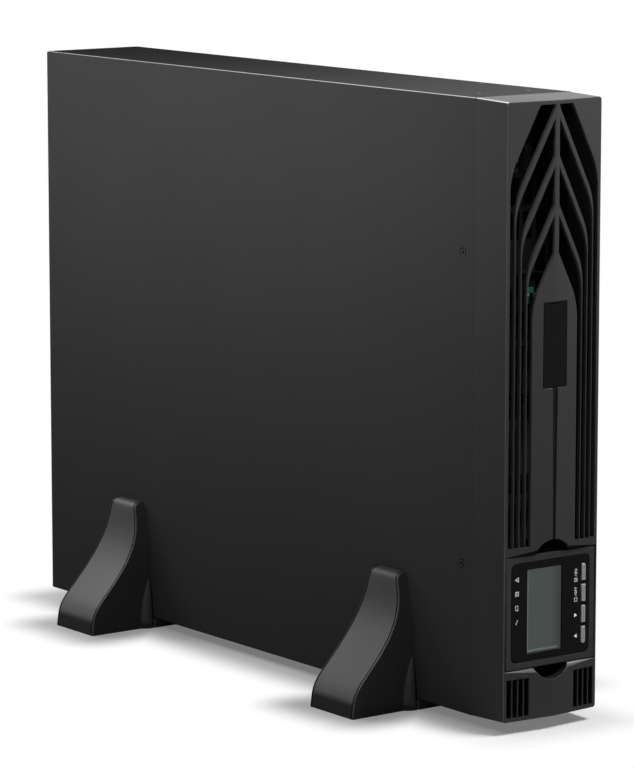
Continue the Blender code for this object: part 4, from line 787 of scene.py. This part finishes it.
# printed marks of the display
markSpec = {
    "thick": 0.00005, "sunk": 0.2, "stroke": 0.0003, "thin": 0.8, "bold": 1.4, "mitre": 0.4,
    "labelX": 0.0232, "letter": 0.0020, "letterGap": 0.42, "box": 0.0024, "arrow": 0.0026,
    "boxDown": 0.0044, "slashUp": 0.0031, "wordUp": 0.0043,
    "onZ": 0.1082, "offZ": 0.0940, "downZ": 0.0783, "upZ": 0.0633,
    "iconX": -0.0306, "icon": 0.0030, "iconZ": (0.1103, 0.1003, 0.0901, 0.0800),
}
bends = [i * math.tau / 16 for i in range(17)]
letters = {
    "O": (0.64, [[(0.32 + 0.32 * math.cos(a), 0.5 + 0.5 * math.sin(a)) for a in bends[:-1]]]),
    "N": (0.62, [[(0, 0), (0, 1), (0.62, 0), (0.62, 1)]]),
    "F": (0.46, [[(0, 0), (0, 1), (0.46, 1)], [(0, 0.52), (0.38, 0.52)]]),
}
square = [(-0.5, -0.5), (0.5, -0.5), (0.5, 0.5), (-0.5, 0.5)]
wedge = [(-0.55, -0.45), (0.55, -0.45), (0, 0.5)]


# flat band of even width along a line of points
def band(bm, points, width, closed=False):
    count = len(points)
    rails = ([], [])
    for i, (x, z) in enumerate(points):
        before = points[i - 1] if closed or i else points[i]
        after = points[(i + 1) % count] if closed or i < count - 1 else points[i]
        first = Vector((x - before[0], z - before[1])).normalized()
        second = Vector((after[0] - x, after[1] - z)).normalized()
        along = (first + second).normalized()
        side = Vector((-along.y, along.x))
        squareness = [abs(side.dot(Vector((-run.y, run.x)))) for run in (first, second)]
        reach = width / 2 / max(*squareness, markSpec["mitre"])
        for rail, sign in zip(rails, (1, -1)):
            rail.append(bm.verts.new((x + sign * side.x * reach, 0, z + sign * side.y * reach)))
    for i in range(count if closed else count - 1):
        j = (i + 1) % count
        bm.faces.new((rails[0][i], rails[1][i], rails[1][j], rails[0][j]))


def patch(bm, points):
    bm.faces.new([bm.verts.new((x, 0, z)) for x, z in points])


# a mark drawn upright round its own middle, then turned to read upward
def turned(points, middle, size):
    return [(middle[0] - v * size, middle[1] + u * size) for u, v in points]


def word(bm, text, start, size, stroke):
    along = start[1]
    for letter in text:
        width, lines = letters[letter]
        for line in lines:
            shifted = [(u, v - 0.5) for u, v in line]
            band(bm, turned(shifted, (start[0], along), size), stroke, letter == "O")
        along += (width + markSpec["letterGap"]) * size


def drawMarks(spec):
    bm = bmesh.new()
    stroke = spec["stroke"]
    thin = stroke * spec["thin"]
    x, size = spec["labelX"], spec["letter"]
    for middle, text, ticked in ((spec["onZ"], "ON", True), (spec["offZ"], "OFF", False)):
        low = middle - spec["boxDown"]
        band(bm, turned(square, (x, low), spec["box"]), stroke, True)
        if ticked:
            band(bm, turned([(-0.3, 0.05), (-0.05, -0.25), (0.42, 0.4)], (x, low), spec["box"]), thin)
        band(bm, turned([(-0.2, -0.5), (0.2, 0.5)], (x, low + spec["slashUp"]), size), thin)
        word(bm, text, (x, low + spec["wordUp"]), size, stroke)
    patch(bm, turned([(u, -v) for u, v in wedge], (x, spec["downZ"]), spec["arrow"]))
    patch(bm, turned(wedge, (x, spec["upZ"]), spec["arrow"]))
    size = spec["icon"]
    fault, around, cells, wave = [(spec["iconX"], z) for z in spec["iconZ"]]
    band(bm, turned(wedge, fault, size), stroke, True)
    band(bm, turned([(0, -0.2), (0, 0.15)], fault, size), stroke)
    band(bm, turned(square, around, size * 0.9), stroke, True)
    band(bm, turned([(-0.3, -0.15), (0, 0.2), (0.3, -0.15)], around, size), stroke)
    band(bm, turned([(u * 1.1, v * 0.7) for u, v in square], cells, size), stroke, True)
    for u in (-0.28, 0.28):
        band(bm, turned([(u, 0.35), (u, 0.52)], cells, size), stroke * spec["bold"])
    swing = [(1.2 * a / math.tau - 0.6, 0.3 * math.sin(a)) for a in bends]
    band(bm, turned(swing, wave, size), stroke)
    bmesh.ops.translate(bm, verts=bm.verts, vec=(0, faceY + spec["sunk"] * spec["thick"], 0))
    raiseFaces(bm, bm.faces[:], (0, -spec["thick"], 0))
    faceOutward(bm)
    addPiece("displayMarks", bm, "markWhite", "display")


drawMarks(markSpec)
print("marks made")


# wire shapes lie across the fan axis, which runs along Y
def wireRing(bm, middle, radius, wire, steps):
    start = Matrix.Translation(middle + Vector((radius, 0, 0)))
    verts = bmesh.ops.create_circle(bm, segments=8, radius=wire, matrix=start)["verts"]
    turnRound(bm, verts + edgesOf(verts), middle, steps)


def rod(bm, start, end, radius, sides=8):
    along = end - start
    bmesh.ops.create_cone(
        bm, cap_ends=True, segments=sides, radius1=radius, radius2=radius, depth=along.length,
        matrix=Matrix.Translation((start + end) / 2) @ turnTo(along))


# a block with rounded edges between two corners
def block(bm, low, high, width, steps=2):
    low, high = Vector(low), Vector(high)
    size = Matrix.Diagonal((*(high - low), 1))
    verts = bmesh.ops.create_cube(bm, size=1, matrix=Matrix.Translation((low + high) / 2) @ size)["verts"]
    bevelEdges(bm, edgesOf(verts), width, steps, True)


# fan guards bent from wire
guardSpec = {
    "rings": (0.010, 0.0193, 0.0287, 0.0375), "wire": 0.0006, "leg": 0.0005, "ringY": 0.2884, "legY": 0.2879,
    "legFrom": 0.0094, "corner": 0.0358, "eyelet": 0.0029, "steps": 48, "eyeletSteps": 20, "headY": 0.2890,
    "radius": 0.0032, "edge": 0.0006, "height": 0.0016, "arm": 0.0017, "half": 0.0004, "sink": 0.0008,
}


def makeGuard(node, spec):
    middle = middleOf(node)
    bm = bmesh.new()
    heads = []
    for radius in spec["rings"]:
        wireRing(bm, Vector((middle.x, spec["ringY"], middle.z)), radius, spec["wire"], spec["steps"])
    for right, up in ((-1, -1), (-1, 1), (1, -1), (1, 1)):
        slant = Vector((right, 0, up)).normalized()
        hub = Vector((middle.x, spec["legY"], middle.z))
        corner = hub + Vector((right, 0, up)) * spec["corner"]
        rod(bm, hub + slant * spec["legFrom"], corner - slant * spec["eyelet"], spec["leg"])
        wireRing(bm, corner, spec["eyelet"], spec["leg"], spec["eyeletSteps"])
        heads.append((corner.x, spec["headY"], corner.z))
    faceOutward(bm)
    standFor(node, node.replace("fan_guard", "wireGuard"), bm, "zincPlate")
    addScrews(node.replace("fan_guard", "guardScrews"), heads, (0, 1, 0), spec, "screwBlack")


# fan wheels with twisted blades
rotorSpec = {
    "hub": (
        (0, 0.2832), (0.0132, 0.2832), (0.0155, 0.2826), (0.0165, 0.2808),
        (0.0165, 0.2680), (0.0150, 0.2662), (0, 0.2662)),
    "hubSteps": 48, "blades": 7, "reach": (0.0158, 0.0225, 0.0295, 0.0364), "from": 0.2672,
    "twist": 0.72, "climb": 0.0022, "steps": 6, "thick": 0.0011,
}


def makeRotor(node, guard, spec):
    middle = middleOf(guard)
    centre = (middle.x, 0, middle.z)
    bm = bmesh.new()
    for blade in range(spec["blades"]):
        angle = math.tau * blade / spec["blades"]
        right, up = math.cos(angle), math.sin(angle)
        root = chain(bm, [(middle.x + r * right, spec["from"], middle.z + r * up) for r in spec["reach"]])
        bmesh.ops.spin(
            bm, geom=root, cent=centre, axis=(0, 1, 0), angle=spec["twist"], steps=spec["steps"],
            dvec=(0, spec["climb"], 0), use_merge=False, use_duplicate=False)
    faceOutward(bm)
    bmesh.ops.solidify(bm, geom=bm.faces[:], thickness=spec["thick"])
    hub = bmesh.new()
    profile = chain(hub, [(middle.x + r, y, middle.z) for r, y in spec["hub"]])
    turnRound(hub, profile, centre, spec["hubSteps"])
    bmesh.ops.remove_doubles(hub, verts=hub.verts, dist=meshSpec["merge"])
    faceOutward(hub)
    joined = newMesh("hub", hub)
    bm.from_mesh(joined)
    bpy.data.meshes.remove(joined)
    standFor(node, node.replace("fan_rotor", "fanWheel"), bm, "fanPlastic")


for place in ("lower", "upper"):
    makeGuard("fan_guard_" + place, guardSpec)
    makeRotor("fan_rotor_" + place, "fan_guard_" + place, rotorSpec)
print("fans made")

# sockets and ports of the rear panel
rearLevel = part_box("rear_panel")[1].y
portSpec = {
    "edge": 0.0003, "steps": 2, "proud": 0.0004,
    "pieces": {
        "mains_inlet": ("inletSocket", "socketPlastic"), "battery_port": ("packPort", "keyFloor"),
        "outlet_strip_left": ("outletStripLeft", "socketPlastic"),
        "outlet_strip_right": ("outletStripRight", "socketPlastic"),
        "emergency_terminal": ("terminalBlock", "terminalPlastic"), "slot_cover": ("slotPlate", "casePaint"),
        "breaker_body": ("breakerCase", "socketPlastic"), "breaker_button": ("breakerKey", "keyFloor"),
    },
}


def standsOut(spot, edge):
    return spot.y > rearLevel + portSpec["proud"]


for node, (piece, finish) in portSpec["pieces"].items():
    replaceNode(node, piece, finish, portSpec["edge"], portSpec["steps"], standsOut)

# contact blades of the mains inlet
bladeSpec = {
    "half": (0.00105, 0.00305), "from": 0.2717, "to": 0.28365, "edge": 0.0004,
    "spots": ((0, 0.004), (-0.0085, -0.004), (0.0085, -0.004)),
}
inlet = middleOf("mains_inlet")
wide, tall = bladeSpec["half"]
bm = bmesh.new()
for right, up in bladeSpec["spots"]:
    x, z = inlet.x + right, inlet.z + up
    block(
        bm, (x - wide, bladeSpec["from"], z - tall), (x + wide, bladeSpec["to"], z + tall), bladeSpec["edge"])
addPiece("inletBlades", bm, "contactTin")

# knurled thumb screws of the option slot's plate
knobSpec = {
    "radius": 0.00445, "groove": 0.00405, "teeth": 28, "from": 0.2886, "to": 0.2937, "apart": 0.0265,
    "lid": ((0.0037, 0.2940), (0.0027, 0.2940), (0.0023, 0.2934)),      # radius and level of each turned step
    "lidStart": 0.00005,
}


def makeKnob(bm, place, spec):
    flat = Matrix.Translation(place) @ Matrix.Rotation(math.radians(-90), 4, "X")
    verts = bmesh.ops.create_circle(
        bm, cap_ends=True, segments=2 * spec["teeth"], radius=spec["radius"], matrix=flat)["verts"]
    for vert in verts[::2]:
        vert.co = place + (vert.co - place) * (spec["groove"] / spec["radius"])
    lid = raiseFaces(bm, verts[0].link_faces[:], (0, spec["to"] - spec["from"], 0))
    for radius, level in spec["lid"]:
        insetFaces(bm, lid, spec["lidStart"], even=False)
        for vert in lid[0].verts:
            out = Vector((vert.co.x - place.x, 0, vert.co.z - place.z)).normalized() * radius
            vert.co = (place.x + out.x, level, place.z + out.z)


plate = middleOf("slot_cover")
bm = bmesh.new()
for side in (-1, 1):
    makeKnob(bm, Vector((plate.x + side * knobSpec["apart"], knobSpec["from"], plate.z)), knobSpec)
faceOutward(bm)
addPiece("thumbScrews", bm, "zincPlate")

# pan-head screws round the rear panel
panHead = {"radius": 0.0029, "edge": 0.0007, "height": 0.0014, "arm": 0.0016, "half": 0.0004, "sink": 0.0008}
rearScrewSpec = {"x": (-0.038, 0.038), "levels": (0.0165, 0.2440, 0.4375)}
headLevel = rearLevel + panHead["height"]
places = [(x, headLevel, z) for z in rearScrewSpec["levels"] for x in rearScrewSpec["x"]]
addScrews("rearScrews", places, (0, 1, 0), panHead, "screwBlack")

# nine contacts in a black insert, and two jack posts
serialSpec = {
    "half": (0.0079, 0.0030), "deep": 0.0006, "proud": 0.0002, "edge": (0.00015, 1),
    "rows": ((5, 0.00142), (4, -0.00142)), "pitch": 0.00277,
    "hole": (0.00055, 12), "holeFrom": 0.0004, "holeLong": 0.0008,
    "post": (0.0026, 6), "postAt": 0.0125, "postHigh": 0.0036, "rim": (0.0017, 0.0003, 24),
}


def makeSerial(spec):
    middle = middleOf("serial_port")
    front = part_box("serial_port")[1].y
    wide, tall = spec["half"]
    bm = bmesh.new()
    block(
        bm, (middle.x - wide, front - spec["deep"], middle.z - tall),
        (middle.x + wide, front + spec["proud"], middle.z + tall), *spec["edge"])
    addPiece("serialInsert", bm, "socketPlastic")
    bm = bmesh.new()
    for count, level in spec["rows"]:
        for i in range(count):
            x = middle.x + (i - (count - 1) / 2) * spec["pitch"]
            start = Vector((x, front - spec["holeFrom"], middle.z + level))
            rod(bm, start, start + Vector((0, spec["holeLong"], 0)), *spec["hole"])
    addPiece("serialContacts", bm, "contactTin")
    bm = bmesh.new()
    for side in (-1, 1):
        start = Vector((middle.x + side * spec["postAt"], rearLevel, middle.z))
        end = start + Vector((0, spec["postHigh"], 0))
        rod(bm, start, end, *spec["post"])
        wireRing(bm, end, *spec["rim"])
    faceOutward(bm)
    addPiece("serialPosts", bm, "zincPlate")


makeSerial(serialSpec)

# screws of the emergency terminal
stopSpec = {
    "radius": 0.0012, "edge": 0.0002, "height": 0.0006, "arm": 0.0009, "half": 0.0002, "sink": 0.0003,
    "apart": 0.0026, "behind": 0.0028,
}
stop = middleOf("emergency_terminal")
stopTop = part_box("emergency_terminal")[1].z
places = [(stop.x + side * stopSpec["apart"], rearLevel + stopSpec["behind"], stopTop) for side in (-1, 1)]
addScrews("terminalScrews", places, (0, 0, 1), stopSpec, "contactTin")
print("rear made")

# edge strip round the front of the case, a hair behind the bezel
stripSpec = {
    "shy": 0.00006, "deep": 0.0009, "room": 0.00004, "corner": 0.0024, "edge": (0.00004, 1), "side": 0.0001,
}


def makeStrip(spec):
    low, high = coverLow, coverHigh
    shy, deep, corner = spec["shy"], spec["deep"], spec["corner"]
    shell = nodes["front_bezel"].data.vertices
    front = max(vert.co.y for vert in shell if vert.co.x < low.x + spec["side"]) + spec["room"]
    bm = bmesh.new()
    for x in (low.x + shy, high.x - shy - deep):
        block(bm, (x, front, low.z + corner), (x + deep, low.y, high.z - corner), *spec["edge"])
    for z in (low.z + shy, high.z - shy - deep):
        block(bm, (low.x + corner, front, z), (high.x - corner, low.y, z + deep), *spec["edge"])
    addPiece("coverStrip", bm, "casePaint")


makeStrip(stripSpec)
print("edge strip made")

# small link board on the front frame, seen through the slots
linkSpec = {
    "low": (0.0030, 0.2985), "high": (0.0108, 0.3100), "thick": 0.0016, "edge": 0.0004,
    "header": (0.0076, 0.2990), "headerHigh": (0.0106, 0.3064), "headerFoot": 0.0015, "stand": 0.0052,
    "pin": 0.0003, "pins": 4, "pinOut": 0.0006, "pinIn": 0.0004,
}


def makeLink(spec):
    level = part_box("front_frame")[0].y
    (x0, z0), (x1, z1) = spec["low"], spec["high"]
    bm = bmesh.new()
    block(bm, (x0, level - spec["thick"], z0), (x1, level, z1), spec["edge"])
    addPiece("linkBoard", bm, "boardGreen")
    (x0, z0), (x1, z1) = spec["header"], spec["headerHigh"]
    top = level - spec["stand"]
    bm = bmesh.new()
    block(bm, (x0, top, z0), (x1, level - spec["headerFoot"], z1), spec["edge"])
    for i in range(spec["pins"]):
        x, z = (x0 + x1) / 2, z0 + (i + 0.5) * (z1 - z0) / spec["pins"]
        rod(bm, Vector((x, top - spec["pinOut"], z)), Vector((x, top + spec["pinIn"], z)), spec["pin"])
    addPiece("linkHeader", bm, "socketPlastic")


makeLink(linkSpec)
print("link board made")

# batteries with a lid seam and a sunk panel on each side
batterySpec = {
    "edge": (0.0022, 3), "lid": 0.014, "seam": 0.0012, "seamWall": 0.0002, "sink": 0.0009,
    "frame": 0.007, "panel": 0.0005, "sideArea": 0.002, "sideTilt": 0.01,
}


def makeBattery(node, spec):
    bm = bmesh.new()
    low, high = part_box(node)
    block(bm, low, high, *spec["edge"])
    seam = high.z - spec["lid"]
    top = seam + spec["seam"]
    for level in (seam, top):
        cutAcross(bm, (0, 0, level), (0, 0, 1))
    ring = [face for face in bm.faces if seam < face.calc_center_median().z < top]
    insetFaces(bm, ring, spec["seamWall"], -spec["sink"])
    upright = [face for face in bm.faces if abs(face.normal.z) < spec["sideTilt"]]
    for face in [face for face in upright if face.calc_area() > spec["sideArea"]]:
        insetFaces(bm, [face], spec["frame"])
        insetFaces(bm, [face], spec["panel"], -spec["panel"])
    standFor(node, node.replace("battery", "batteryCell"), bm, "batteryCase")


for count in range(1, 7):
    makeBattery("battery_" + str(count), batterySpec)

# pull handle, and the screws of the battery door
doorSpec = {"inset": 0.0055, "handle": (0.0015, 3)}
replaceNode("pack_handle", "pullHandle", "fanPlastic", *doorSpec["handle"], lambda spot, edge: True)
low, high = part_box("battery_door")
headLevel = low.y - panHead["height"]
columns, rows = [(low[i] + doorSpec["inset"], high[i] - doorSpec["inset"]) for i in (0, 2)]
places = [(x, headLevel, z) for x in columns for z in rows]
addScrews("doorScrews", places, (0, -1, 0), panHead, "screwBlack", bodyOf["battery_door"])
print("battery pack made")

# floor and light
lightSpec = {
    "world": 0.02,
    "lamps": (      # name, place, aim, size, power, and spread in degrees
        ("sideBox", (-0.44, 0.12, 0.50), (0.0, 0.12, 0.48), (1.0, 0.1), 2.6, 120.0),
        ("frontBox", (0.30, -0.59, 0.93), (0.0, -0.30, 0.40), (0.4, 0.3), 4.4, 80.0),
        ("backBox", (-0.36, 1.0, 0.62), (-0.10, 0.0, 0.0), (0.6, 0.4), 1.0, 60.0),
        ("rearBox", (0.55, 1.1, 0.42), (0.0, 0.29, 0.22), (0.6, 0.4), 4.0, 100.0),
        ("fillBox", (-0.9, -1.3, 0.60), (0.0, -0.29, 0.30), (0.5, 0.5), 0.12, 60.0),
        ("overheadBox", (-0.30, -0.15, 1.3), (-0.25, -0.1, 0.1), (0.6, 0.6), 0.8, 90.0),
    ),
}


# rays that should see the plain white backdrop
def backdropMask(tree):
    rays = addNode(tree, "LightPath")
    first = addNode(tree, "Math", operation="ADD", use_clamp=True)
    both = addNode(tree, "Math", operation="ADD", use_clamp=True)
    joinNodes(
        tree,
        (rays, "Is Camera Ray", first, 0), (rays, "Is Glossy Ray", first, 1),
        (first, "Value", both, 0), (rays, "Is Transmission Ray", both, 1),
    )
    return both, "Value"


def makeWorld(strength):
    world = bpy.data.worlds.new("studio")
    world.use_nodes = True
    scene.world = world
    tree = world.node_tree
    tree.nodes.clear()
    fill = addNode(tree, "Background", {"Color": (1, 1, 1, 1), "Strength": strength})
    white = addNode(tree, "Background", {"Color": (1, 1, 1, 1), "Strength": 1.0})
    pick = addNode(tree, "MixShader")
    out = addNode(tree, "OutputWorld")
    joinNodes(
        tree, (*backdropMask(tree), pick, 0), (fill, 0, pick, 1), (white, 0, pick, 2),
        (pick, 0, out, "Surface"))


floorSpec = {
    "colour": grey(0.45, 0), "rough": 0.9, "half": 8, "fade": 0.046, "near": 0.18,
    "standing": (
        ("front_bezel", "cover"), ("foot_front_left", "foot_front_right"),
        ("foot_rear_left", "foot_rear_right")),
}


# distance on the floor from whatever stands on it
def standingDistance(tree, spec):
    place = addNode(tree, "TexCoord")
    nearest = None
    for names in spec["standing"]:
        lows, highs = zip(*[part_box(name) for name in names])
        low = (min(corner.x for corner in lows), min(corner.y for corner in lows), 0)
        high = (max(corner.x for corner in highs), max(corner.y for corner in highs), 0)
        above = addNode(tree, "VectorMath", {1: low}, operation="MAXIMUM")
        held = addNode(tree, "VectorMath", {1: high}, operation="MINIMUM")
        away = addNode(tree, "VectorMath", operation="DISTANCE")
        joinNodes(
            tree,
            (place, "Object", above, 0), (above, "Vector", held, 0),
            (place, "Object", away, 0), (held, "Vector", away, 1),
        )
        found = away
        if nearest:
            found = addNode(tree, "Math", operation="MINIMUM")
            joinNodes(tree, (nearest, "Value", found, 0), (away, "Value", found, 1))
        nearest = found
    return nearest, "Value"


# pale floor that fades to white away from the object
def makeFloor(spec):
    material, tree, shader = newMaterial("paleFloor")
    out = tree.nodes["Material Output"]
    setInputs(shader, {"Base Color": (*spec["colour"], 1), "Specular IOR Level": 0.0})
    setInputs(shader, {"Roughness": spec["rough"]})
    fade = addNode(
        tree, "MapRange", {"From Min": 0.0, "From Max": spec["fade"], "To Min": spec["near"]},
        interpolation_type="SMOOTHSTEP")
    seen = addNode(tree, "Math", operation="MULTIPLY")
    white = addNode(tree, "Emission", {"Color": (1, 1, 1, 1), "Strength": 1.0})
    pick = addNode(tree, "MixShader")
    joinNodes(
        tree,
        (*standingDistance(tree, spec), fade, "Value"), (fade, "Result", seen, 0),
        (*backdropMask(tree), seen, 1), (seen, "Value", pick, 0),
        (shader, 0, pick, 1), (white, 0, pick, 2), (pick, 0, out, "Surface"),
    )
    bm = bmesh.new()
    bmesh.ops.create_grid(bm, x_segments=1, y_segments=1, size=spec["half"])
    mesh = newMesh("paleFloor", bm)
    mesh.materials.append(material)
    floor = placeObject("paleFloor", mesh)


def addLamp(name, place, aim, size, power, spread):
    data = bpy.data.lights.new(name, "AREA")
    data.shape = "RECTANGLE"
    data.size, data.size_y = size
    data.energy = power
    data.spread = math.radians(spread)
    lamp = placeObject(name, data)
    look = Vector(aim) - Vector(place)
    lamp.matrix_world = Matrix.Translation(place) @ look.to_track_quat("-Z", "Y").to_matrix().to_4x4()


makeWorld(lightSpec["world"])
makeFloor(floorSpec)
for lamp in lightSpec["lamps"]:
    addLamp(*lamp)
print("floor and light set")
